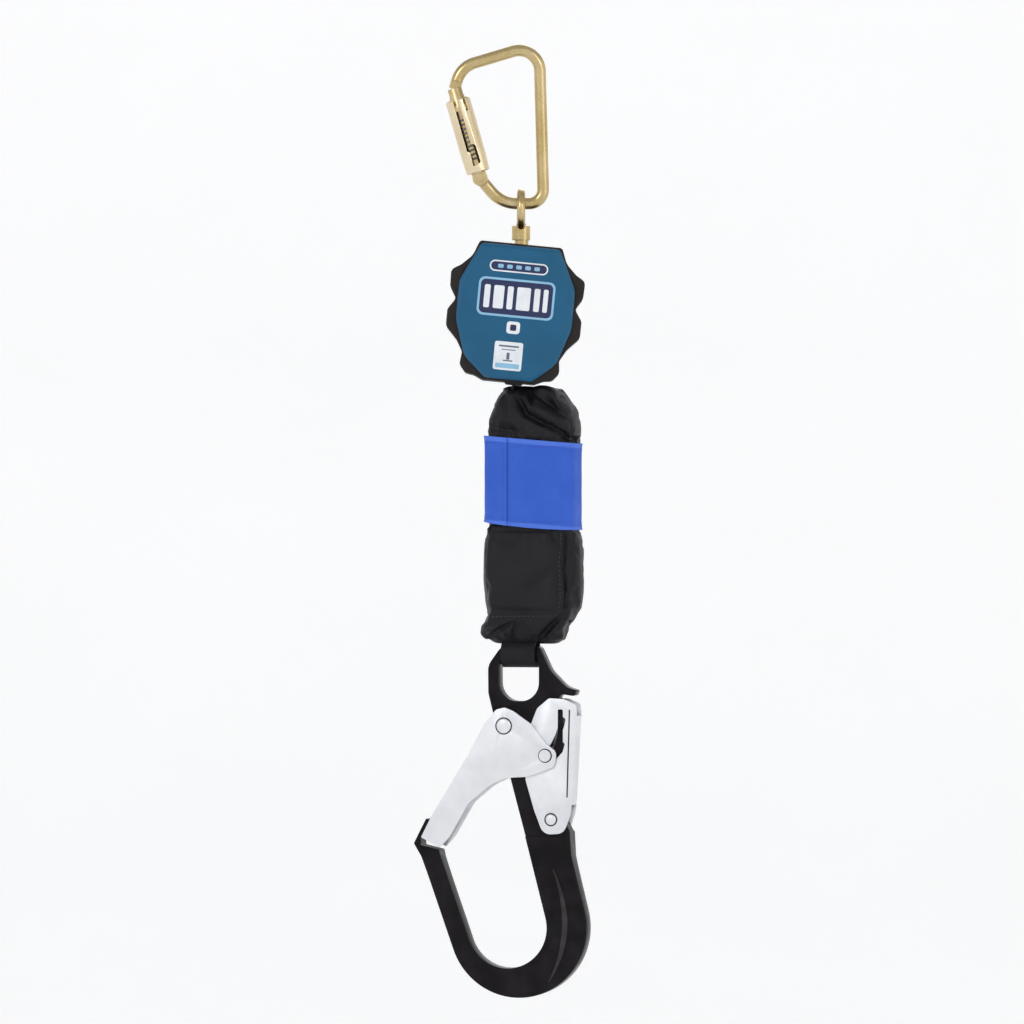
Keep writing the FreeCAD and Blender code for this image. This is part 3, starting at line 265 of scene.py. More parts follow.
@dataclass(frozen=True)
class PowderCoat(Finish):
    """Thick glossy powder coat: orange peel, dusty patches at random and bare steel at a few edges."""
    bare: Colour = (0.32, 0.31, 0.30)
    roughness: float = 0.2

    def paint(self, graph: Graph) -> None:
        """Wires the finish.

        Args:
            graph: The material's graph.
        """
        peel = graph.noise(520, 2)
        handled = graph.ramp(graph.noise(60, 5), 0.4, 0.7)
        worn = graph.worn_edge(0.0007, 0.08, 0.35)
        chips = graph.ramp(graph.noise(420, 6, rough=0.7), 0.66, 0.7)
        bare = graph.times(worn, graph.plus(graph.times(chips, 0.7), 0.08))
        dusty = graph.blend(handled, self.colour, self.shade(1.6, 0.001))
        grade = graph.ramp(handled, 0.0, 1.0, self.roughness * 0.8, self.roughness * 1.6)
        graph.set(Base_Color=graph.blend(bare, dusty, self.bare), Metallic=graph.times(bare, 0.8),
                  Roughness=graph.plus(grade, graph.times(bare, 0.2)),
                  Specular_IOR_Level=0.05,
                  Normal=graph.bump(peel, 0.00005, 0.5, graph.rounded_normal(0.0004)))


@dataclass(frozen=True)
class Moulded(Finish):
    """Moulded plastic or rubber: fine spark texture, soft blotches, scuffs and paler edges."""
    scuff: Colour = (0.3, 0.3, 0.3)
    roughness: float = 0.4
    texture: float = 1600.0
    depth: float = 0.00003
    wear: float = 0.5
    coat: float = 0.0

    def paint(self, graph: Graph) -> None:
        """Wires the finish.

        Args:
            graph: The material's graph.
        """
        pits = graph.noise(self.texture, 3)
        blotch = graph.ramp(graph.noise(28, 4), 0.35, 0.7)
        drawn = graph.noise(70, 6, graph.stretched((14, 14, 0.6), (0.0, 0.9, 0.0)), 0.65)
        scratch = graph.ramp(drawn, 0.67, 0.71)
        base = graph.blend(blotch, self.colour, self.shade(0.82))
        base = graph.blend(graph.times(scratch, 0.16 * self.wear), base, self.scuff)
        base = graph.blend(graph.times(graph.worn_edge(0.001), self.wear), base, self.scuff)
        grade = graph.ramp(blotch, 0.0, 1.0, self.roughness * 0.88, self.roughness * 1.18)
        fine = graph.bump(pits, self.depth, 0.8, graph.rounded_normal(0.0004))
        graph.set(Base_Color=base, Normal=graph.bump(scratch, -0.00002, 0.6 * self.wear, fine),
                  Roughness=graph.plus(grade, graph.times(scratch, 0.15)),
                  Coat_Weight=self.coat, Coat_Roughness=0.2, Specular_IOR_Level=0.3)


class Weave(Enum):
    """How the threads of a cloth lie: the pitch of its warp and of its weft, in millimetres."""
    PLAIN = (0.55, 0.55)
    CLOSE = (0.8, 0.45)
    RIBBED = (1.25, 2.1)


@dataclass(frozen=True)
class Woven(Finish):
    """Woven cloth or webbing. The threads follow the piece's own cloth map, in millimetres."""
    thread: Colour = (0.1, 0.1, 0.1)
    weave: Weave = Weave.PLAIN
    roughness: float = 0.75
    sheen: float = 0.25
    depth: float = 0.00012
    rim: Colour | None = None
    rim_at: tuple[float, float] = (0.0, 60.0)

    def paint(self, graph: Graph) -> None:
        """Wires the finish.

        Args:
            graph: The material's graph.
        """
        mapped = graph.add("ShaderNodeAttribute", attribute_name=CLOTH_MAP).outputs["Vector"]
        parts = graph.add("ShaderNodeSeparateXYZ", {0: mapped})
        warp = graph.maths("SINE", graph.times(parts.outputs[0], math.tau / self.weave.value[0]))
        weft = graph.maths("SINE", graph.times(parts.outputs[1], math.tau / self.weave.value[1]))
        if self.weave is Weave.RIBBED:
            slant = graph.plus(parts.outputs[1], graph.times(graph.maths("ABSOLUTE", warp), 0.7))
            weft = graph.maths("SINE", graph.times(slant, math.tau / self.weave.value[1]))
        crossing = graph.ramp(graph.times(warp, weft), -1.0, 1.0)
        fuzz = graph.noise(1500, 3)
        rubbed = graph.ramp(graph.noise(45, 5), 0.45, 0.75)
        base = graph.blend(graph.times(crossing, 0.6), self.colour, self.thread)
        base = graph.blend(graph.times(rubbed, 0.35), base, self.thread)
        base = graph.blend(graph.ramp(fuzz, 0.62, 0.8, 0.0, 0.2), base, self.thread)
        if self.rim is not None:
            low = graph.ramp(parts.outputs[1], self.rim_at[0] + 1.0, self.rim_at[0] + 2.2, 1.0, 0.0)
            high = graph.ramp(parts.outputs[1], self.rim_at[1] - 2.2, self.rim_at[1] - 1.0)
            base = graph.blend(graph.times(graph.maths("MAXIMUM", low, high), 0.55), base, self.rim)
        threads = graph.bump(crossing, self.depth, 0.7)
        graph.set(Base_Color=base, Sheen_Weight=self.sheen, Sheen_Roughness=0.4, Sheen_Tint=self.thread,
                  Roughness=graph.ramp(rubbed, 0.0, 1.0, self.roughness, self.roughness * 0.8),
                  Specular_IOR_Level=0.22, Normal=graph.bump(fuzz, 0.00006, 0.5, threads))


@dataclass(frozen=True)
class Print(Finish):
    """Screen print or vinyl: flat ink with a faint grain, small voids and a soft gloss."""
    roughness: float = 0.35

    def paint(self, graph: Graph) -> None:
        """Wires the finish.

        Args:
            graph: The material's graph.
        """
        voids = graph.ramp(graph.noise(1300, 3), 0.66, 0.74)
        tired = graph.ramp(graph.noise(90, 4), 0.4, 0.75)
        faded = self.shade(0.86, 0.004)
        base = graph.blend(tired, self.colour, faded)
        graph.set(Base_Color=graph.blend(graph.times(voids, 0.3), base, faded),
                  Roughness=graph.ramp(tired, 0.0, 1.0, self.roughness, self.roughness * 1.4),
                  Normal=graph.bump(voids, -0.00002, 0.5))


@dataclass(frozen=True)
class Backdrop(Finish):
    """Pale matt paper for the floor and the sweep behind."""

    def paint(self, graph: Graph) -> None:
        """Wires the finish.

        Args:
            graph: The material's graph.
        """
        tone = graph.ramp(graph.noise(1.5, 3), 0.3, 0.7)
        graph.set(Base_Color=graph.blend(tone, self.colour, self.shade(0.985)),
                  Roughness=0.95, Specular_IOR_Level=0.1, Emission_Color=(1.0, 1.0, 1.0),
                  Emission_Strength=0.28)


CLOTH_MAP = "cloth"
GOLD = PlatedMetal("gold_zinc", (0.48, 0.36, 0.155), (0.62, 0.50, 0.29), (0.84, 0.76, 0.60), 0.27, 0.35)
BRIGHT = PlatedMetal("bright_zinc", (0.60, 0.59, 0.57), (0.46, 0.44, 0.42), (0.86, 0.86, 0.86), 0.22, 0.3)
WHITE_ZINC = PlatedMetal("white_zinc", (0.80, 0.81, 0.83), (0.70, 0.71, 0.74), (0.93, 0.93, 0.93), 0.42, 0.25)
STEEL = PlatedMetal("steel", (0.50, 0.51, 0.53), (0.42, 0.43, 0.46), (0.75, 0.75, 0.75), 0.3, 0.4)
BRONZE = PlatedMetal("bronze", (0.50, 0.32, 0.14), (0.38, 0.23, 0.10), (0.75, 0.56, 0.33), 0.45, 0.4)
ALUMINIUM = PlatedMetal("aluminium", (0.66, 0.67, 0.69), (0.56, 0.57, 0.60), (0.86, 0.86, 0.86), 0.38, 0.6)
PALE_GOLD = PlatedMetal("gold_zinc", (0.70, 0.58, 0.38), (0.80, 0.69, 0.48), (0.90, 0.84, 0.70), 0.3, 0.3)
SPRING_STEEL = PlatedMetal("spring_steel", (0.14, 0.15, 0.19), (0.09, 0.10, 0.13), (0.4, 0.42, 0.46), 0.33, 0.3)
FORGING = PowderCoat("black_forging", (0.0095, 0.0084, 0.0095), (0.10, 0.10, 0.10), 0.16)
# The forging's black coat made paler for the crescent ridge: a painted highlight where the glossy spine catches
# the light.
RIB_PAINTED_HIGHLIGHT = PowderCoat("black_forging", (0.032, 0.030, 0.031), (0.2, 0.2, 0.2), 0.08)
TEAL = Moulded("teal_cover", (0.004, 0.095, 0.20), (0.10, 0.26, 0.42), 0.33, 1400, 0.00002, 0.5, 0.05)
NYLON = Moulded("black_nylon", (0.007, 0.0065, 0.007), (0.06, 0.06, 0.06), 0.48, 1500, 0.00004, 0.6)
RUBBER = Moulded("bumper_rubber", (0.011, 0.007, 0.006), (0.09, 0.075, 0.065), 0.5, 900, 0.00006, 0.8)
LABEL = Print("white_label", (0.74, 0.77, 0.81))
NAVY_PRINT = Print("teal_cover", (0.004, 0.013, 0.075))
PALE_PRINT = Print("white_label", (0.24, 0.47, 0.66))
GREY_PRINT = Print("white_label", (0.10, 0.13, 0.18))
WEBBING = Woven("black_webbing", (0.003, 0.003, 0.004), (0.014, 0.014, 0.017), Weave.RIBBED, 0.6, 0.1, 0.00028)
CLOTH = Woven("black_cloth", (0.0032, 0.0028, 0.0042), (0.0105, 0.0105, 0.0145), Weave.PLAIN, 0.42, 0.12)
WRAP = Woven("blue_cloth", (0.024, 0.085, 0.48), (0.052, 0.15, 0.64), Weave.CLOSE, 0.7, 0.12, 0.0001,
             (0.11, 0.23, 0.78))
THREAD = Woven("black_cloth", (0.028, 0.028, 0.034), (0.07, 0.07, 0.08), Weave.CLOSE, 0.6, 0.2)
BLUE_THREAD = Woven("blue_cloth", (0.02, 0.06, 0.38), (0.07, 0.15, 0.6), Weave.CLOSE, 0.6, 0.1)
PAPER = Backdrop("backdrop", (0.90, 0.90, 0.90))


# --- frames and shapes

@dataclass(frozen=True)
class Place:
    """A frame in millimetres whose matrix lays a shape in the assembly."""
    origin: Vector
    across: Vector
    up: Vector

    def matrix(self) -> Matrix:
        """From the frame's millimetres to the assembly's metres."""
        turn = Matrix((self.across, self.up.cross(self.across), self.up)).transposed().to_4x4()
        return Matrix.Translation(self.origin) @ turn @ Matrix.Scale(MILLI, 4)

    def local(self, spot: Vector) -> Vector:
        """A point of the assembly, in the frame's millimetres."""
        return self.matrix().inverted() @ spot


def joint(name: str) -> dict:
    """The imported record's joint of that name."""
    return next(item for item in frame["joints"] if item["name"] == name)


def housing_place() -> Place:
    """The drum housing's frame: its centre on the drum's axis, its height along the swivel's stem."""
    up = Vector(joint("housing_swivel")["axis"]).normalized()
    return Place(Vector(joint("drum_spin")["pos_m"]), Vector((0, 1, 0)).cross(up), up)


def pack_place(drop: float = 0.0) -> Place:
    """The absorber's frame, as high as the anchor, or a drop below the eye bar's centre.

    Args:
        drop: How far below the hook's eye bar the frame's centre is, in millimetres; 0 is the anchor's height.

    Returns:
        The frame, with its across along the eye bar.
    """
    bar = Vector(joint("hook_swing")["pos_m"])
    height = bar.z - drop * MILLI if drop else 0.0
    return Place(Vector((bar.x, bar.y, height)), Vector(joint("hook_swing")["axis"]).normalized(),
                 Vector((0, 0, 1)))


def box_corners(left: float, low: float, right: float, high: float, radius: float) -> list[Corner]:
    """The corners of a box, each with its radius."""
    return [(left, low, radius), (right, low, radius), (right, high, radius), (left, high, radius)]


def only(kind: type, geom: Iterable) -> list:
    """The mesh elements of one kind."""
    return [item for item in geom if isinstance(item, kind)]


def linked(name: str, data: bpy.types.ID) -> bpy.types.Object:
    """Puts a new object with that data in the scene.

    Args:
        name: Its name.
        data: Its mesh, camera or light.

    Returns:
        The object.
    """
    item = bpy.data.objects.new(name, data)
    bpy.context.scene.collection.objects.link(item)
    return item


class Shape:
    """A mesh in millimetres, worked with bmesh operators and then laid in its frame."""

    def __init__(self, name: str) -> None:
        """Starts an empty mesh.

        Args:
            name: The name of the piece it becomes.
        """
        self.name = name
        self.bm = bmesh.new()
        self.done = self.bm.faces.layers.int.new("done")

    def every(self) -> list:
        """All the vertices, edges and faces."""
        return self.bm.verts[:] + self.bm.edges[:] + self.bm.faces[:]

    def bevel(self, geom: list, width: float, segments: int, affect: str = "EDGES",
              clamped: bool = False) -> None:
        """Rounds edges or corners; clamped, the rounding stops short where they are close."""
        bmesh.ops.bevel(self.bm, geom=geom, offset=width, offset_type="OFFSET", affect=affect,
                        segments=segments, profile=0.5, material=-1, clamp_overlap=clamped)

    def spun(self, points: Sequence[Vector], centre: Vector, axis: Vector, steps: int, merge: float) -> None:
        """Spins a line of points right round an axis.

        Args:
            points: The points of the line, in order.
            centre: A point on the axis.
            axis: The axis's direction.
            steps: The facets round it.
            merge: The distance within which vertices are merged.
        """
        verts = [self.bm.verts.new(point) for point in points]
        edges = [self.bm.edges.new(pair) for pair in zip(verts, verts[1:])]
        bmesh.ops.spin(self.bm, geom=verts + edges, cent=centre, axis=axis, angle=math.tau, steps=steps,
                       use_merge=True)
        bmesh.ops.remove_doubles(self.bm, verts=self.bm.verts[:], dist=merge)

    def outline(self, corners: Sequence[Corner], depth: float = 0.0, segments: int = 5) -> BMFace:
        """A flat face facing the front, with each corner rounded.

        Args:
            corners: Each corner's place across, its height and its radius.
            depth: How far back the face lies.
            segments: The segments of a rounded corner.

        Returns:
            The face.
        """
        verts = [self.bm.verts.new((x, depth, z)) for x, z, _ in corners]
        self.bm.faces.new(verts)
        spots = [vert.co.copy() for vert in verts]
        for index, (vert, corner) in enumerate(zip(verts, corners)):
            before = (spots[index - 1] - spots[index]).normalized()
            after = (spots[(index + 1) % len(spots)] - spots[index]).normalized()
            slide = corner[2] / math.tan(max(before.angle(after), 0.02) / 2)
            if slide > 0.01:
                self.bevel([vert], slide, segments, "VERTICES")
        return next(found for found in self.bm.faces if not found[self.done])

    def plate(self, corners: Sequence[Corner], front: float, back: float, edge: float = 0.0,
              segments: int = 2) -> None:
        """A flat plate with rounded corners and a rounded front edge.

        Args:
            corners: Each corner's place across, its height and its radius.
            front: How far back its front is.
            back: How far back its back is.
            edge: The radius of its front edge.
            segments: The segments of that edge.
        """
        face = self.outline(corners, back)
        made = bmesh.ops.extrude_face_region(self.bm, geom=[face])["geom"]
        verts = only(BMVert, made)
        bmesh.ops.translate(self.bm, verts=verts, vec=(0, front - back, 0))
        if edge:
            rim = {item for vert in verts for item in vert.link_edges
                   if all(end in verts for end in item.verts)}
            self.bevel(list(rim), edge, segments)
        for found in self.bm.faces:
            found[self.done] = 1

    def turned(self, profile: Sequence[tuple[float, float]], centre: Vector, steps: int = 40) -> None:
        """A round solid about a line to the back, from its half outline.

        Args:
            profile: The radius and the depth of each point of the half outline.
            centre: The line's place.
            steps: The facets round it.
        """
        points = [centre + Vector((radius, depth, 0)) for radius, depth in profile]
        self.spun(points, centre, Vector((0, 1, 0)), steps, 0.001)

    def rings(self, corners: Sequence[Corner], levels: Sequence["Level"],
              segments: int = 6) -> None:
        """A tube lofted down through levels from one rounded cross section.

        Args:
            corners: The first section's corners across and back, and their radii.
            levels: The tube's levels, the first one where the section lies.
            segments: The segments of a rounded corner.
        """
        face = self.outline(corners, 0.0, segments)
        bmesh.ops.rotate(self.bm, verts=self.bm.verts[:], cent=(0, 0, 0),
                         matrix=Matrix.Rotation(math.radians(90), 3, "X"))
        bmesh.ops.translate(self.bm, verts=self.bm.verts[:], vec=(0, 0, levels[0].height))
        ring = list(face.edges)
        bmesh.ops.delete(self.bm, geom=[face], context="FACES_ONLY")
        for above, level in zip(levels, levels[1:]):
            made = bmesh.ops.extrude_edge_only(self.bm, edges=ring)["geom"]
            verts = only(BMVert, made)
            ring = only(BMEdge, made)
            middle = Vector((above.middle(), 0, 0))
            bmesh.ops.scale(self.bm, verts=verts, space=Matrix.Translation(-middle),
                            vec=(level.width() / above.width(), level.half_depth / above.half_depth, 1))
            bmesh.ops.translate(self.bm, verts=verts, vec=(level.middle() - above.middle(), 0,
                                                           level.height - above.height))

    def from_node(self, node: str) -> None:
        """Takes a copy of a CAD node's mesh, with its doubles merged and its flat faces joined.

        Args:
            node: The node's name.
        """
        self.bm.from_mesh(frame["nodes"][node].data)
        bmesh.ops.remove_doubles(self.bm, verts=self.bm.verts[:], dist=0.000002)
        bmesh.ops.dissolve_limit(self.bm, angle_limit=math.radians(0.6), verts=self.bm.verts[:],
                                 edges=self.bm.edges[:], delimit={"NORMAL"})

    def soften(self, width: float, wanted: Callable[[Vector], bool] = lambda spot: True, sharp: float = 32.0,
               segments: int = 3, clamped: bool = True, hollows: bool = True) -> None:
        """Rounds the sharp edges.

        Args:
            width: The width of the rounding, in the mesh's own unit.
            wanted: Says of an edge's middle if it is rounded.
            sharp: The angle past which an edge is sharp, in degrees.
            segments: The segments of the rounding.
            clamped: Whether the rounding stops short where edges are close.
            hollows: Whether inward edges are rounded too.
        """
        edges = [edge for edge in self.bm.edges if len(edge.link_faces) == 2
                 and edge.calc_face_angle(0.0) > math.radians(sharp)
                 and (hollows or edge.is_convex) and wanted((edge.verts[0].co + edge.verts[1].co) / 2)]
        self.bevel(edges, width, segments, clamped=clamped)

    def into(self, finish: Finish, body: str, nodes: Sequence[str] = (), place: Place | None = None,
             smooth: float = 38.0, outward: bool = True) -> bpy.types.Object:
        """Lays the shape in its frame and makes it a dressed piece on a body.

        Args:
            finish: What it is finished in.
            body: The body it moves with.
            nodes: The CAD nodes that it stands for.
            place: Its frame; left out when it is in the assembly's metres already.
            smooth: The angle below which faces are shaded as one, in degrees.
            outward: Whether its normals are made to face outwards.

        Returns:
            The piece.
        """
        if place is not None:
            bmesh.ops.transform(self.bm, matrix=place.matrix(), verts=self.bm.verts[:])
        if outward:
            bmesh.ops.recalc_face_normals(self.bm, faces=self.bm.faces[:])
        for face in self.bm.faces:
            face.smooth = True
        mesh = bpy.data.meshes.new(self.name)
        self.bm.to_mesh(mesh)
        self.bm.free()
        mesh.set_sharp_from_angle(angle=math.radians(smooth))
        return dress(linked(self.name, mesh), finish, body, nodes)


def dress(piece: bpy.types.Object, finish: Finish, body: str, nodes: Sequence[str] = ()) -> bpy.types.Object:
    """Gives a piece its finish, its body and the CAD nodes that it stands for.

    Args:
        piece: The mesh object.
        finish: Its finish.
        body: The body it moves with.
        nodes: The CAD nodes that it replaces.

    Returns:
        The piece.
    """
    piece.data.materials.clear()
    piece.data.materials.append(finish.material())
    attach(piece, body)
    if nodes:
        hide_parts(*nodes)
    log.info("%s: %d faces in %s", piece.name, len(piece.data.polygons), finish.slot)
    return piece


def baked(piece: bpy.types.Object) -> None:
    """Applies a piece's modifiers to its mesh.

    Args:
        piece: The piece.
    """
    shown = piece.evaluated_get(bpy.context.evaluated_depsgraph_get())
    mesh = bpy.data.meshes.new_from_object(shown)
    piece.modifiers.clear()
    piece.data = mesh


def lay_threads(mesh: bpy.types.Mesh, mapping: Callable[[Vector], Vector]) -> None:
    """Writes a piece's cloth map.

    Args:
        mesh: The finished mesh, in metres.
        mapping: From a point of it to its place along the cloth, in millimetres.
    """
    layer = mesh.attributes.new(CLOTH_MAP, "FLOAT_VECTOR", "POINT")
    for vert, item in zip(mesh.vertices, layer.data):
        item.vector = mapping(vert.co)


@dataclass(frozen=True)
class Level:
    """One level of a lofted tube, in millimetres."""
    height: float
    left: float
    right: float
    half_depth: float

    def middle(self) -> float:
        """The middle across."""
        return (self.left + self.right) / 2

    def width(self) -> float:
        """The whole width."""
        return self.right - self.left


# --- stitching

@dataclass
class Stitching:
    """Rows of short stitches that lie on a piece's surface."""
    pitch: float = 3.2
    length: float = 2.3
    radius: float = 0.32
    reach: float = 0.08

    def sew(self, name: str, target: bpy.types.Object, rows: Iterable[Sequence[Vector]], aim: Vector,
            finish: Finish, body: str) -> bpy.types.Object:
        """Sews rows of stitches on to a piece.

        Args:
            name: The name of the stitching.
            target: The piece that it lies on.
            rows: The points of each row, in metres, outside the piece.
            aim: The way from a row to the surface.
            finish: The thread's finish.
            body: The body it moves with.

        Returns:
            The stitching.
        """
        surface = BVHTree.FromObject(target, bpy.context.evaluated_depsgraph_get())
        shape = Shape(name)
        for row in rows:
            for start, end in zip(row, row[1:]):
                run = end - start
                count = max(int(run.length / (self.pitch * MILLI)), 1)
                for index in range(count):
                    spot = start + run * ((index + 0.5) / count)
                    hit, normal, _, _ = surface.ray_cast(spot, aim, self.reach)
                    if hit is None:
                        continue
                    self.stitch(shape.bm, hit, normal, run.normalized())
        piece = shape.into(finish, body, smooth=60)
        lay_threads(piece.data, lambda spot: spot * 1000)
        return piece

    def stitch(self, bm: bmesh.types.BMesh, spot: Vector, normal: Vector, along: Vector) -> None:
        """Adds one stitch.

        Args:
            bm: The mesh it is added to.
            spot: Where it lies, in metres.
            normal: The surface's normal there.
            along: The way the row runs.
        """
        flat = (along - normal * along.dot(normal)).normalized()
        turn = Matrix((flat, normal.cross(flat), normal)).transposed().to_4x4()
        size = Matrix.Diagonal((self.length / 2 * MILLI, self.radius * MILLI, self.radius * MILLI, 1))
        bmesh.ops.create_uvsphere(bm, u_segments=7, v_segments=5, radius=1.0,
                                  matrix=Matrix.Translation(spot) @ turn @ size)


# --- carabiner and swivel

@dataclass
class Anchor:
    """Moving parts of the twist lock carabiner."""
    sleeve_edge: float = 0.0003
    gate_edge: float = 0.0004

    def build(self) -> None:
        """Rounds the edges of the sleeve and the gate."""
        for node, body, finish, edge in (
                ("lock_sleeve", "lock_sleeve", PALE_GOLD, self.sleeve_edge),
                ("carabiner_gate", "carabiner_gate", GOLD, self.gate_edge)):
            shape = Shape(f"{node}_finished")
            shape.from_node(node)
            shape.soften(edge, segments=2)
            shape.into(finish, body, [node], smooth=30, outward=False)


# --- drum housing

@dataclass
class Housing:
    """Round cornered drum housing: covers, lobed bumper, printed panel and inspection tag."""
    place: Place = field(default_factory=housing_place)
    panel: tuple[float, float, float, float] = (-27.5, -3.5, 27.5, 24.0)
    strip: tuple[float, float, float, float] = (-21.0, 28.5, 21.0, 36.5)
    ink: float = 0.1
    bars: tuple[tuple[float, float], ...] = ((-23.0, 4.2), (-16.2, 7.4), (-6.4, 4.2), (0.4, 9.8), (12.8, 4.2),
                                             (19.4, 3.4))
    dashes: tuple[float, ...] = (-15.0, -8.5, -2.0, 4.5, 11.0)
    dash: float = 4.0
    tag_half: float = 10.2
    tag_marks: tuple[tuple[float, float, float, float], ...] = (
        (-7.2, 6.4, 7.2, 7.6), (-5.0, 4.2, 5.0, 4.8), (-1.1, -2.6, 1.1, 2.4), (-3.4, -3.8, 3.4, -2.9))
    tag_foot: tuple[float, float, float, float] = (-8.6, -8.8, 8.6, -5.4)

    def build(self) -> None:
        """Builds every visible piece of the housing."""
        self.shells()
        self.graphics()
        self.tag()

    def shells(self) -> None:
        """Rounds the edges of the covers, the cases, the bumper and the webbing guide."""
        for node, finish, edge in (("front_cover", TEAL, 0.0017), ("rear_cover", TEAL, 0.0017),
                                   ("front_case", NYLON, 0.0006), ("rear_case", NYLON, 0.0006),
                                   ("bumper", RUBBER, 0.0012), ("webbing_guide", NYLON, 0.0008)):
            shape = Shape(f"{node}_finished")
            shape.from_node(node)
            shape.soften(edge, sharp=20.0)
            shape.into(finish, "housing", [node], smooth=30, outward=False)

    def sheet(self, name: str, boxes: Sequence[tuple[float, float, float, float, float]], layer: int,
              finish: Finish) -> None:
        """Lays thin rounded boxes of ink on the front cover.

        Args:
            name: The name of the piece.
            boxes: Each box's left, bottom, right, top and corner radius.
            layer: How many layers of ink lie under it.
            finish: The ink.
        """
        lo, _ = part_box("front_cover")
        face = lo.y / MILLI
        shape = Shape(name)
        for left, low, right, high, corner in boxes:
            corners = box_corners(left, low, right, high, corner)
            shape.plate(corners, face - self.ink * (layer + 1), face - self.ink * layer + 0.02, 0.04, 1)
        shape.into(finish, "housing", place=self.place)

    def graphics(self) -> None:
        """Lays a plain panel with bars on the front cover."""
        left, low, right, high = self.panel
        self.sheet("panel_border", [(left, low, right, high, 4.5)], 0, PALE_PRINT)
        self.sheet("panel_ground", [(left + 1.6, low + 1.6, right - 1.6, high - 1.6, 3.4)], 1, NAVY_PRINT)
        bars = [(start, low + 5.5, start + wide, high - 5.5, 1.1) for start, wide in self.bars]
        self.sheet("panel_bars", bars, 2, LABEL)
        left, low, right, high = self.strip
        self.sheet("strip_border", [(left, low, right, high, 3.9)], 0, LABEL)
        self.sheet("strip_ground", [(left + 1.0, low + 1.0, right - 1.0, high - 1.0, 2.9)], 1, NAVY_PRINT)
        dashes = [(start, low + 2.6, start + self.dash, high - 2.6, 0.9) for start in self.dashes]
        self.sheet("strip_dashes", dashes, 2, PALE_PRINT)
        self.sheet("size_spot", [(-4.8, -15.2, 4.8, -6.4, 2.2)], 0, LABEL)
        self.sheet("size_hole", [(-2.2, -13.0, 2.2, -8.6, 1.0)], 1, NAVY_PRINT)

    def tag(self) -> None:
        """Lays the inspection tag and its print."""
        lo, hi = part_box("inspection_tag")
        middle = self.place.local((lo + hi) / 2)
        half = self.tag_half

        def corners(box: Sequence[float], radius: float) -> list[Corner]:
            """The corners of a box that is measured from the tag's middle."""
            left, low, right, high = box
            return box_corners(middle.x + left, middle.z + low, middle.x + right, middle.z + high, radius)
        shape = Shape("inspection_tag_printed")
        front = lo.y / MILLI + 0.12
        shape.plate(corners((-half, -half, half, half), 1.6), front, hi.y / MILLI, 0.15)
        shape.into(LABEL, "housing", ["inspection_tag"], self.place)
        for name, ink, radius, boxes in (("inspection_tag_marks", GREY_PRINT, 0.2, self.tag_marks),
                                         ("inspection_tag_foot", PALE_PRINT, 0.6, (self.tag_foot,))):
            marks = Shape(name)
            for box in boxes:
                marks.plate(corners(box, radius), front - 0.06, front + 0.02)
            marks.into(ink, "housing", place=self.place)


# --- energy absorber

@dataclass(frozen=True)
class Fold:
    """A crease or a raised fold of the pouch, across the front or the back, in its frame's millimetres."""
    start: tuple[float, float]
    end: tuple[float, float]
    width: float
    depth: float
    front: bool = True

    def push(self, spot: Vector) -> float:
        """How far the fold pushes a point out, in millimetres.

        Args:
            spot: The point, in the pouch's frame.

        Returns:
            The push along the point's normal.
        """
        if (spot.y < 0) is not self.front:
            return 0.0
        start, end = Vector(self.start), Vector(self.end)
        run = end - start
        point = Vector((spot.x, spot.z)) - start
        share = max(0.0, min(1.0, point.dot(run) / run.length_squared))
        away = (point - run * share).length / self.width
        fade = math.sin(math.pi * min(1.0, max(0.0, 0.12 + share * 0.76)))
        return self.depth * fade * math.exp(-away * away)


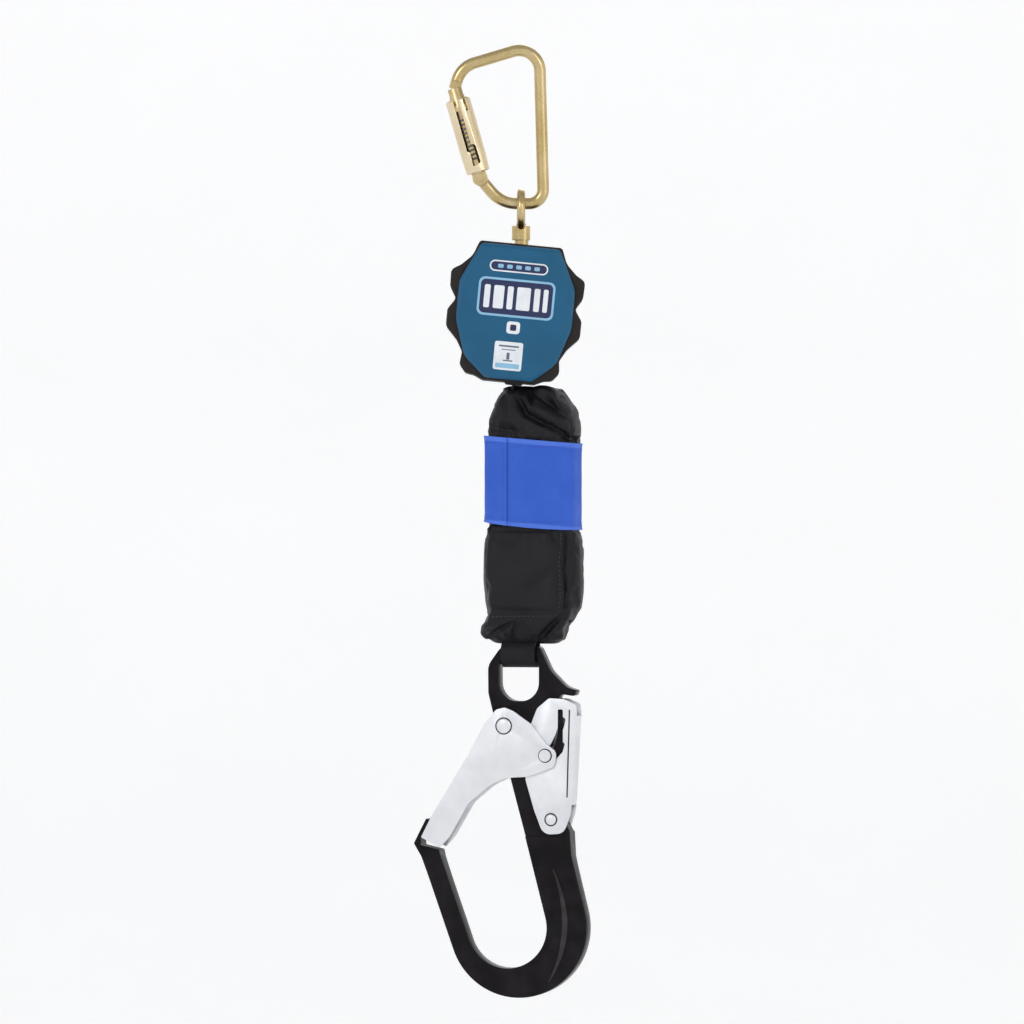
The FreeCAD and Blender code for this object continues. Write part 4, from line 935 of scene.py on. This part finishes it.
@dataclass
class Absorber:
    """Soft pouch with its wrap band, the lifeline's webbing and the loop round the hook's eye bar."""
    place: Place = field(default_factory=pack_place)
    levels: tuple[Level, ...] = tuple(Level(*row) for row in (
        (-237.8, -11.4, 20.0, 8.0), (-240.0, -11.8, 28.4, 10.0), (-244.5, -13.8, 31.4, 12.0),
        (-249.0, -15.6, 33.8, 13.4), (-255.5, -17.6, 39.0, 14.6), (-263.0, -19.6, 41.0, 16.0),
        (-272.0, -21.4, 42.2, 16.6), (-279.0, -21.6, 41.6, 16.6), (-336.5, -21.6, 41.6, 16.6),
        (-342.0, -24.2, 41.8, 17.4), (-356.0, -24.6, 43.2, 18.0), (-376.0, -24.2, 43.6, 18.0),
        (-396.0, -22.8, 42.0, 16.8), (-403.0, -23.8, 39.4, 15.2), (-410.0, -26.6, 36.0, 13.6),
        (-415.0, -28.4, 34.0, 11.4), (-419.5, -24.6, 32.0, 8.6), (-423.0, -17.0, 27.0, 5.6)))
    folds: tuple[Fold, ...] = tuple(Fold(*row) for row in (
        ((1.0, -245.0), (9.2, -258.6), 1.9, -4.2), ((8.5, -258.0), (28.7, -268.5), 2.2, -4.8),
        ((27.0, -267.5), (45.0, -278.5), 2.0, -4.4), ((-3.0, -252.0), (8.0, -265.0), 3.0, 2.0),
        ((12.0, -252.0), (30.0, -262.0), 3.4, 3.0), ((28.0, -261.0), (43.0, -270.0), 2.8, 2.4),
        ((9.0, -238.0), (12.0, -250.0), 1.8, -4.0), ((14.0, -243.0), (30.0, -253.0), 1.9, -3.0),
        ((16.0, -239.0), (29.0, -245.0), 2.2, 2.0), ((24.0, -250.0), (40.0, -262.0), 1.7, -2.4),
        ((-9.0, -240.0), (-7.0, -262.0), 1.9, -1.8), ((-3.0, -239.0), (-1.0, -250.0), 2.0, 1.6),
        ((-20.0, -267.0), (6.0, -272.0), 2.4, -1.8), ((-22.0, -344.0), (4.0, -352.0), 3.0, -1.5),
        ((-23.0, -398.5), (32.0, -400.5), 2.2, -2.0), ((-27.0, -411.0), (8.0, -404.0), 2.2, 2.2),
        ((-22.0, -419.0), (-2.0, -408.0), 1.6, -2.8), ((12.0, -424.0), (34.0, -403.0), 1.8, -3.4),
        ((8.0, -418.0), (30.0, -402.0), 2.4, 2.0), ((-4.0, -422.0), (2.0, -404.0), 1.6, -2.4),
        ((6.0, -388.0), (30.0, -372.0), 5.0, -1.4), ((37.0, -338.0), (37.0, -407.0), 0.9, -3.0),
        ((35.0, -338.0), (35.0, -407.0), 1.0, 0.5), ((43.0, -352.0), (43.0, -392.0), 4.0, 1.2),
        ((0.0, -262.0), (36.0, -274.0), 2.4, -3.4, False), ((10.0, -240.0), (16.0, -262.0), 2.2, -3.0, False),
        ((-20.0, -250.0), (10.0, -268.0), 2.6, 2.2, False), ((-20.0, -400.0), (28.0, -408.0), 2.4, -2.6, False),
        ((-14.0, -350.0), (20.0, -372.0), 5.0, -1.4, False), ((5.0, -340.0), (5.0, -405.0), 0.9, -2.4, False)))
    voxel: float = 0.0021
    swell: float = 2.6
    pressure: float = 3.5
    slack: float = -0.06
    steps: int = 18
    band_low: float = -338.0
    band_high: float = -276.5
    band_edge: float = -5.4
    band_wall: float = 1.2
    band_slope: float = 0.085
    band_grow: float = 2.0
    webbing_half: float = 12.5
    webbing_wall: float = 1.9
    loop_half: float = 12.6
    loop_wall: float = 2.2
    loop_radius: float = 7.35
    band_middle: float = 10.0
    band_sag: float = 1.5
    row_slope: float = 0.042
    gather: tuple[float, float, float] = (0.9, 26.0, 9.0)
    clear: float = 40.0
    webbing_cuts: int = 44

    @property
    def waist(self) -> Level:
        """The pouch's level under the band."""
        return self.levels[8]

    def build(self) -> None:
        """Builds the soft pieces from the housing down to the hook."""
        self.lifeline()
        pouch = self.pouch()
        self.band()
        self.loop()
        self.seams(pouch)

    def slant(self, across: float) -> float:
        """How far the band hangs down at a place across it."""
        return self.band_slope * (across - self.band_middle)

    def around(self, spot: Vector) -> Vector:
        """The cloth map of the pouch and the band: round the section, and up.

        Args:
            spot: A point, in metres.

        Returns:
            Its place along the cloth, in millimetres.
        """
        local = self.place.local(spot)
        middle = self.waist.middle()
        angle = math.atan2(local.x - middle, -local.y * 1.6)
        return Vector((angle * 30.0, local.z + self.slant(local.x) - self.band_low, 0))

    def pouch(self) -> bpy.types.Object:
        """Lofts the pouch, lets it swell as cloth and presses its folds in.

        Returns:
            The pouch.
        """
        first = self.levels[0]
        shape = Shape("absorber_pouch_cloth")
        radius = min(first.width(), 2 * first.half_depth) * 0.24
        shape.rings(box_corners(first.left, -first.half_depth, first.right, first.half_depth, radius),
                    self.levels)
        bmesh.ops.holes_fill(shape.bm, edges=shape.bm.edges[:], sides=0)
        piece = shape.into(CLOTH, "absorber", ["absorber_pouch"], self.place)
        remesh = piece.modifiers.new("even", "REMESH")
        remesh.mode = "VOXEL"
        remesh.voxel_size = self.voxel
        baked(piece)
        self.inflate(piece)
        finer = piece.modifiers.new("finer", "SUBSURF")
        finer.levels = finer.render_levels = 1
        baked(piece)
        self.press_folds(piece)
        for face in piece.data.polygons:
            face.use_smooth = True
        lay_threads(piece.data, self.around)
        return piece

    def inflate(self, piece: bpy.types.Object) -> None:
        """Runs the cloth with slack and pressure, held at its ends and under the band.

        Args:
            piece: The pouch, remeshed.
        """
        rest = [vert.co.copy() for vert in piece.data.vertices]
        held = piece.vertex_groups.new(name="held")
        for vert in piece.data.vertices:
            height = vert.co.z / MILLI
            inside = self.band_low + 2 < height < self.band_high - 2
            if inside or height > self.levels[0].height - 2 or height < self.levels[-1].height + 3:
                held.add([vert.index], 1.0, "REPLACE")
        cloth = piece.modifiers.new("cloth", "CLOTH")
        settings = cloth.settings
        settings.quality = 6
        settings.mass = 0.2
        settings.tension_stiffness = settings.compression_stiffness = 12
        settings.shear_stiffness = 6
        settings.bending_stiffness = 0.4
        settings.use_pressure = True
        settings.uniform_pressure_force = self.pressure
        settings.shrink_min = self.slack
        settings.vertex_group_mass = "held"
        settings.effector_weights.gravity = 0
        cloth.collision_settings.use_collision = False
        scene = bpy.context.scene
        cloth.point_cache.frame_start = 1
        cloth.point_cache.frame_end = self.steps
        for number in range(1, self.steps + 1):
            scene.frame_set(number)
        baked(piece)
        scene.frame_set(1)
        limit = self.swell * MILLI
        for vert, start in zip(piece.data.vertices, rest):
            move = vert.co - start
            if move.length > limit:
                vert.co = start + move.normalized() * limit

    def press_folds(self, piece: bpy.types.Object) -> None:
        """Pushes the pouch in and out along its folds, and ripples it where the band gathers it.

        Args:
            piece: The pouch, in its final place.
        """
        laid = self.place.matrix()
        back = laid.inverted()
        depth, reach, fade = self.gather
        normals = [vert.normal.copy() for vert in piece.data.vertices]
        for vert, normal in zip(piece.data.vertices, normals):
            local = back @ vert.co
            push = sum(fold.push(local) for fold in self.folds)
            near = min(abs(local.z - self.band_high), abs(local.z - self.band_low))
            outside = local.z > self.band_high + 1 or local.z < self.band_low - 1
            if outside and near < reach:
                wave = (math.sin(local.x * 0.62 + 0.5 * math.sin(local.z * 0.11))
                        * math.sin(local.x * 0.23 + 1.1))
                push += depth * wave * math.exp(-near / fade) * min(1.0, near / 4.0)
            vert.co += normal * push * MILLI
            if self.band_low - 5.0 < local.z < self.band_high + 1.0:
                kept = back @ vert.co
                kept.x = min(max(kept.x, self.waist.left), self.waist.right)
                kept.y = min(max(kept.y, -self.waist.half_depth), self.waist.half_depth)
                vert.co = laid @ kept
        piece.data.update()

    def band(self) -> None:
        """Wraps the blue band round the pouch, with its closure lapped over on the left."""
        under = self.waist
        for name, grow, lapped in (("wrap_band_cloth", self.band_grow, False),
                                   ("wrap_band_lap", self.band_grow + self.band_wall + 0.3, True)):
            left, right = under.left - grow, under.right + grow
            half = under.half_depth + grow
            shape = Shape(name)
            corner = 8.0 + grow
            heights = [self.band_high, -277.8, -283.0, -292.0, -302.0, -312.0, -322.0, -331.5, -336.7,
                       self.band_low]
            bulge = [0.6, 0.2, -0.1, -0.2, -0.1, -0.2, -0.1, -0.2, 0.1, 0.6]
            levels = [Level(z, left - out, right + out, half + out) for z, out in zip(heights, bulge)]
            shape.rings(box_corners(left, -half, right, half, corner), levels, 8)
            cuts = (self.band_edge,) if lapped else (self.band_edge - 3, 8.0, 22.0, 33.0)
            for place in cuts:
                bmesh.ops.bisect_plane(shape.bm, plane_co=(place, 0, 0), plane_no=(1, 0, 0), clear_outer=lapped,
                                       geom=shape.every())
            self.wall(shape, Vector(((left + right) / 2, 0, 0)))
            for vert in shape.bm.verts:
                vert.co.z -= self.slant(vert.co.x)
                if vert.co.z < -325:
                    vert.co.z -= self.band_sag * (1 - ((vert.co.x - self.band_middle) / 34) ** 2)
            piece = shape.into(WRAP, "absorber", ["wrap_band"], self.place, smooth=50, outward=False)
            edge = piece.modifiers.new("edge", "BEVEL")
            edge.width = 0.0004
            edge.segments = 2
            edge.limit_method = "ANGLE"
            baked(piece)
            lay_threads(piece.data, self.around)
            rows = [[self.at(x0, -self.clear, z), self.at(x1, -self.clear, z)]
                    for x0, x1 in (((under.left - 1, self.band_edge - 2),) if lapped
                                   else ((self.band_edge + 2, under.right),))
                    for z in (self.band_high - 4.4 - (x0 + x1 - 2 * self.band_middle) * self.row_slope,
                              self.band_low + 3.2 - (x0 + x1 - 2 * self.band_middle) * self.row_slope)]
            if lapped:
                rows.append([self.at(self.band_edge - 2.4, -self.clear, height)
                             for height in (self.band_high - 4, self.band_low + 3)])
            Stitching(2.6, 1.9, 0.28).sew(f"{name}_stitches", piece, rows, self.aim(), BLUE_THREAD, "absorber")

    def wall(self, shape: Shape, middle: Vector) -> None:
        """Turns a tube's faces outwards and grows a wall out of them.

        Args:
            shape: The open tube.
            middle: A point on its axis.
        """
        bm = shape.bm
        bm.normal_update()
        bmesh.ops.reverse_faces(bm, faces=[face for face in bm.faces if face.normal.dot(
            Vector((face.calc_center_median().x - middle.x, face.calc_center_median().y, 0))) < 0])
        bm.normal_update()
        bmesh.ops.solidify(bm, geom=bm.faces[:], thickness=self.band_wall)
        bm.normal_update()

    def at(self, x: float, y: float, z: float) -> Vector:
        """A point of the absorber's frame, in the assembly's metres."""
        return self.place.matrix() @ Vector((x, y, z))

    def aim(self) -> Vector:
        """The way from the front to the back of the absorber."""
        return (self.at(0, 1, 0) - self.at(0, 0, 0)).normalized()

    def lifeline(self) -> None:
        """Lays the webbing from the drum's guide into the pouch, turning as the pack hangs."""
        tail_low, tail_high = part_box("webbing_tail")
        _, lead_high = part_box("webbing_lead")
        top, low = lead_high.z / MILLI, tail_low.z / MILLI + 6
        middle = (tail_low.x + tail_high.x) / 2
        shape = Shape("lifeline_webbing")
        bmesh.ops.create_cube(shape.bm, size=1.0)
        bmesh.ops.scale(shape.bm, verts=shape.bm.verts[:],
                        vec=(self.webbing_wall, self.webbing_half * 2, top - low))

        def uprights() -> list[BMEdge]:
            """The edges that run down the webbing."""
            return [edge for edge in shape.bm.edges
                    if abs(edge.verts[0].co.z - edge.verts[1].co.z) > self.webbing_wall * 2]
        shape.bevel(uprights(), 0.6, 3)
        bmesh.ops.subdivide_edges(shape.bm, edges=uprights(), cuts=self.webbing_cuts, use_grid_fill=True)
        bmesh.ops.translate(shape.bm, verts=shape.bm.verts[:], vec=(0, 0, (top + low) / 2))
        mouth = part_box("webbing_guide")[0].z / MILLI
        tilt = self.housing_lean()
        turn = self.place.across.angle(Vector((1, 0, 0)))
        for vert in shape.bm.verts:
            share = min(1.0, max(0.0, (mouth - vert.co.z) / 9.0))
            spin = Matrix.Rotation(-turn * share * share * (3 - 2 * share), 3, "Z")
            level = Vector((0, 0, vert.co.z))
            vert.co = spin @ (vert.co - level) + level
            vert.co.x += middle / MILLI + max(0.0, vert.co.z - mouth) * tilt
        piece = shape.into(WEBBING, "housing", ["webbing_lead", "webbing_tail"],
                           Place(Vector((0, 0, 0)), Vector((1, 0, 0)), Vector((0, 0, 1))), smooth=50)
        # It is blended between two bodies, so it rides on neither.
        piece.parent = None
        del piece["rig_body"]
        lay_threads(piece.data, lambda spot: Vector((spot.y / MILLI, spot.z / MILLI, 0)))
        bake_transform(piece)

    def housing_lean(self) -> float:
        """How far the housing's upright leans across for each millimetre up."""
        up = Vector(joint("housing_swivel")["axis"])
        return up.x / up.z

    def loop(self) -> None:
        """Bends the webbing loop round the eye bar and up into the pouch."""
        centre = joint("hook_swing")["pos_m"][2] / MILLI
        inner, outer = self.loop_radius, self.loop_radius + self.loop_wall
        top = self.levels[-1].height + 16
        for side in (1, -1):
            shape = Shape(f"hook_loop_{'back' if side > 0 else 'front'}")
            half = self.loop_half
            corners = [Vector((-half, -inner, centre)), Vector((half, -inner, centre)),
                       Vector((half, -outer, centre)), Vector((-half, -outer, centre))]
            face = shape.bm.faces.new([shape.bm.verts.new(Vector((spot.x, spot.y, 0))) for spot in corners])
            spun = bmesh.ops.spin(shape.bm, geom=list(face.verts) + list(face.edges) + [face],
                                  cent=(0, 0, 0), axis=(1, 0, 0), angle=math.radians(90), steps=10)
            ends = only(BMVert, spun["geom_last"])
            start = [vert for vert in shape.bm.verts if abs(vert.co.z) < 0.01 and vert not in ends]
            rim = [found for found in shape.bm.faces if all(vert in start for vert in found.verts)]
            for rise, inset in ((3.0, -0.2), (6.0, -1.6), (9.0, -4.2), (12.0, -6.4), (20.0, -7.2),
                                (top - centre, -7.3)):
                made = bmesh.ops.extrude_face_region(shape.bm, geom=rim)["geom"]
                bmesh.ops.delete(shape.bm, geom=[item for item in rim if item.is_valid], context="FACES_ONLY")
                verts = only(BMVert, made)
                rim = only(BMFace, made)
                now = sum((vert.co for vert in verts), Vector()) / len(verts)
                shift = -(inner + outer) / 2 - inset
                bmesh.ops.translate(shape.bm, verts=verts, vec=(0, shift - now.y, rise - now.z))
            if side > 0:
                bmesh.ops.mirror(shape.bm, geom=shape.every(), axis="Y", merge_dist=-1)
                gone = [vert for vert in shape.bm.verts if vert.co.y < -0.001]
                bmesh.ops.delete(shape.bm, geom=gone, context="VERTS")
            bmesh.ops.translate(shape.bm, verts=shape.bm.verts[:], vec=(0, 0, centre))
            piece = shape.into(WEBBING, "absorber", ["hook_loop"], self.place, smooth=50)
            lay_threads(piece.data, self.loop_map)

    def loop_map(self, spot: Vector) -> Vector:
        """The cloth map of the loop: along the eye bar, and round it.

        Args:
            spot: A point, in metres.

        Returns:
            Its place along the webbing, in millimetres.
        """
        local = self.place.local(spot)
        centre = joint("hook_swing")["pos_m"][2] / MILLI
        if local.z > centre:
            return Vector((local.x, local.z - centre, 0))
        return Vector((local.x, math.atan2(local.z - centre, abs(local.y)) * self.loop_radius, 0))

    def seams(self, pouch: bpy.types.Object) -> None:
        """Sews the pouch's side seam, hem and top gather.

        Args:
            pouch: The finished pouch.
        """
        sew = Stitching()
        front = (((33.6, -343), (33.2, -401)), ((-21.0, -403.4), (32.0, -402.6)),
                 ((-19.0, -268.0), (2.0, -270.5)))
        back = (((7.4, -343), (7.4, -401)), ((-20.0, -403.0), (31.0, -403.0)))
        for side, rows, depth in (("front", front, -self.clear), ("back", back, self.clear)):
            runs = [[self.at(x, depth, z) for x, z in row] for row in rows]
            aim = self.aim() if depth < 0 else -self.aim()
            sew.sew(f"pouch_stitches_{side}", pouch, runs, aim, THREAD, "absorber")


# --- rebar hook

@dataclass
class Hook:
    """Forged rebar hook, its gate, its lock lever and their rivets."""
    place: Place = field(default_factory=lambda: pack_place(20.0))
    forged_edge: float = 0.0016
    eye_edge: float = 0.0008
    plate_edge: float = 0.00045
    forged_face: tuple[float, float] = (-8.3, -7.0)
    crescent: tuple[tuple[float, float], ...] = ((26.0, -134.0), (45.0, -178.0), (22.8, -215.0))
    crescent_half: float = 1.7
    crescent_steps: int = 14
    # The black strip of painted shade on the lever's bend: its left and right places across, and its half
    # width.
    fold: tuple[float, float, float] = (36.4, 38.2, 0.5)
    fold_shade_heights: tuple[float, float] = (-470.0, -533.0)
    lever_face: float = 7.95
    pin_head: float = 4.3
    rivets: tuple[tuple[str, str, str, float, float, float], ...] = (
        ("hook_gate_rivet", "hook_gate_hinge", "hook", 5.4, 9.75, 1.3),
        ("hook_lever_rivet", "lever_press", "hook", 4.0, 7.95, 1.3))

    def build(self) -> None:
        """Builds the forging, the two pressed channels and the rivets."""
        self.forging()
        for node, body in (("hook_gate", "hook_gate"), ("lock_lever", "lock_lever")):
            shape = Shape(f"{node}_pressed")
            shape.from_node(node)
            shape.soften(self.plate_edge, segments=2, hollows=False)
            shape.into(WHITE_ZINC, body, [node], smooth=30, outward=False)
        self.heads()
        self.ribs()

    def forging(self) -> None:
        """Rounds the forging's bowl and eye, and leaves its slots as machined."""
        shape = Shape("hook_body_forged")
        shape.from_node("hook_body")

        def eye(spot: Vector) -> bool:
            """True round the webbing's eye."""
            return self.place.local(spot).z > -22

        def bowl(spot: Vector) -> bool:
            """True below the lever, away from the nose."""
            local = self.place.local(spot)
            return local.z < -118 and (local.x > -50 or local.z < -132)
        shape.soften(self.eye_edge, eye, segments=2)
        shape.soften(self.forged_edge, bowl, clamped=False)
        shape.into(FORGING, "hook", ["hook_body"], smooth=34, outward=False)

    def crescent_outline(self) -> list[Corner]:
        """The crescent's corners, down its inner side and up its outer one."""
        start, bend, end = (Vector(point) for point in self.crescent)
        inner, outer = [], []
        for step in range(self.crescent_steps + 1):
            share = step / self.crescent_steps
            spot = start * (1 - share) ** 2 + bend * 2 * share * (1 - share) + end * share ** 2
            half = 0.4 + self.crescent_half * math.sin(math.pi * share)
            inner.append((spot.x - half, spot.y, 0.0))
            outer.append((spot.x + half, spot.y, 0.0))
        return inner + outer[::-1]

    def ribs(self) -> None:
        """Raises the forged crescent on the spine, front and back, in a paler black that is a painted
        highlight, and lays a black strip on the lever's fold that is painted shade.
        """
        lo, hi = self.forged_face
        for side in (-1, 1):
            shape = Shape(f"hook_rib_{'front' if side < 0 else 'back'}")
            shape.plate(self.crescent_outline(), lo, hi, 0.35, 3)
            if side > 0:
                bmesh.ops.scale(shape.bm, verts=shape.bm.verts[:], vec=(1, -1, 1))
            # Painted highlight: the crescent's paler black stands in for the light it catches.
            shape.into(RIB_PAINTED_HIGHLIGHT, "hook", place=self.place)
        # Painted shade: a black nylon strip laid where the lever's side plate bends over.
        line = Shape("lever_fold_shade")
        left, right, wide = self.fold
        top, low = self.fold_shade_heights
        line.plate([(left - wide, low, 0.3), (left + wide, low, 0.3), (right + wide, top, 0.3),
                    (right - wide, top, 0.3)], -self.lever_face - 0.12, -self.lever_face + 0.2, 0.05, 1)
        line.into(NYLON, "lock_lever", place=pack_place(0.0))

    def heads(self) -> None:
        """Turns the rivets with low domed heads front and back."""
        for node, hinge, body, head, face, rise in self.rivets:
            centre = self.place.local(Vector(joint(hinge)["pos_m"]))
            centre.y = 0.0
            shank = head * 0.55
            half = [(0.0, -face - rise), (head * 0.35, -face - rise * 0.98), (head * 0.7, -face - rise * 0.8),
                    (head * 0.93, -face - rise * 0.45), (head, -face - rise * 0.1), (head, -face),
                    (shank, -face)]
            profile = half + [(radius, -depth) for radius, depth in reversed(half)]
            shape = Shape(f"{node}_domed")
            shape.turned(profile, centre)
            shape.into(WHITE_ZINC, body, [node], self.place)
            # Each head gets a dark ring of painted shade round it.
            self.rim(node, body, centre, head, face)
        low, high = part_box("latch_pin")
        centre = self.place.local((low + high) / 2)
        centre.y = 0.0
        # The latch pin's heads get the same ring of painted shade.
        self.rim("latch_pin", "hook_gate", centre, self.pin_head, self.rivets[0][4])

    def rim(self, node: str, body: str, centre: Vector, head: float, face: float) -> None:
        """Turns a dark ring round a rivet's heads, front and back, as painted shade for the gap round each
        head.

        Args:
            node: The rivet's node.
            body: The body it moves with.
            centre: The rivet's place, in the hook's frame.
            head: The radius of its heads.
            face: How far the plates' outer faces are from the middle.
        """
        shape = Shape(f"{node}_gap_shade")
        for depth in (-face, face):
            out = math.copysign(0.22, depth)
            ring = [(head - 0.1, depth), (head - 0.1, depth + out), (head + 0.75, depth + out),
                    (head + 0.75, depth), (head - 0.1, depth)]
            shape.turned(ring, centre)
        # Black nylon, as painted shade in the gap round the head.
        shape.into(NYLON, body, place=self.place)


# --- stage

@dataclass
class Studio:
    """Camera, pale sweep and soft lights."""
    look_at: Vector = field(default_factory=lambda: Vector((-0.0065, 0.0, -0.3283)))
    distance: float = 4.5
    view_height: float = 0.737
    floor: float = -1.92
    reach: float = 16.0

    def build(self) -> None:
        """Sets up the camera, the sweep and the lights."""
        self.camera()
        self.sweep()
        for name, place, size, power in (
                ("key", Vector((-1.5, -1.9, 1.1)), 0.55, 13.0), ("fill", Vector((2.0, -1.5, -0.1)), 1.0, 4.0),
                ("strip", Vector((0.9, -1.4, 0.6)), 0.25, 3.0), ("back", Vector((0.2, 2.2, 1.2)), 1.2, 9.0)):
            self.light(name, place, size, power)
        world = bpy.data.worlds.new("studio")
        world.use_nodes = True
        world.node_tree.nodes["Background"].inputs["Color"].default_value = (0.97, 0.98, 1.0, 1.0)
        world.node_tree.nodes["Background"].inputs["Strength"].default_value = 0.6
        bpy.context.scene.world = world
        bpy.context.scene.view_settings.view_transform = "Standard"

    def camera(self) -> None:
        """Puts the camera in front of the hanging lifeline."""
        back = Vector((0, -1, 0))
        lens = bpy.data.cameras.new("camera")
        lens.sensor_width = 36.0
        lens.lens = 18.0 / (self.view_height / 2 / self.distance)
        lens.clip_end = 100.0
        bpy.context.scene.camera = self.hang("camera", lens, self.look_at + back * self.distance, -back)

    def hang(self, name: str, data: bpy.types.ID, place: Vector, way: Vector) -> bpy.types.Object:
        """Hangs a camera or a light.

        Args:
            name: Its name.
            data: The camera or the light.
            place: Where it hangs.
            way: The way it faces.

        Returns:
            The object.
        """
        holder = linked(name, data)
        holder.location = place
        holder.rotation_mode = "QUATERNION"
        holder.rotation_quaternion = way.to_track_quat("-Z", "Y")
        return holder

    def sweep(self) -> None:
        """Spins a round pale floor that rises into a wall on every side."""
        shape = Shape("sweep")
        profile = [(self.reach * share, self.reach * rise) for share, rise in
                   ((0.0, 0.0), (0.7, 0.0), (0.85, 0.039), (0.95, 0.133), (1.0, 0.29), (1.0, 0.61))]
        points = [Vector((radius, 0, self.floor + height)) for radius, height in profile]
        shape.spun(points, Vector((0, 0, 0)), Vector((0, 0, 1)), 64, 0.0005)
        for face in shape.bm.faces:
            face.smooth = True
            if face.normal.z < 0 and abs(face.normal.z) > 0.5:
                face.normal_flip()
        mesh = bpy.data.meshes.new("sweep")
        shape.bm.to_mesh(mesh)
        shape.bm.free()
        mesh.materials.append(PAPER.material())
        linked("sweep", mesh)

    def light(self, name: str, place: Vector, size: float, power: float) -> None:
        """Hangs one soft square light that faces the lifeline.

        Args:
            name: Its name.
            place: Where it hangs.
            size: The length of its side.
            power: Its power, in watts.
        """
        lamp = bpy.data.lights.new(name, "AREA")
        lamp.size = size
        lamp.energy = power
        self.hang(name, lamp, place, self.look_at - place)


def finish_nodes() -> None:
    """Gives every CAD node the finish of the slot that the record names for it."""
    by_slot = {finish.slot: finish for finish in (
        GOLD, BRIGHT, WHITE_ZINC, STEEL, BRONZE, ALUMINIUM, SPRING_STEEL, FORGING, TEAL, NYLON, RUBBER, LABEL,
        WEBBING, CLOTH, WRAP)}
    slots = {part["node"]: part["material_slot"] for part in frame["record"]["subparts"]}
    for name, node in frame["nodes"].items():
        material = by_slot[slots[name]].material()
        if not node.material_slots:
            node.data.materials.append(material)
        for held in node.material_slots:
            held.material = material


def main() -> None:
    """Builds the lifeline from its anchor down, then the studio."""
    logging.basicConfig(level=logging.INFO, format="%(name)s: %(message)s")
    finish_nodes()
    for assembly in (Anchor(), Housing(), Absorber(), Hook(), Studio()):
        assembly.build()
        log.info("%s is built", type(assembly).__name__)


if __name__ == "__main__":
    main()
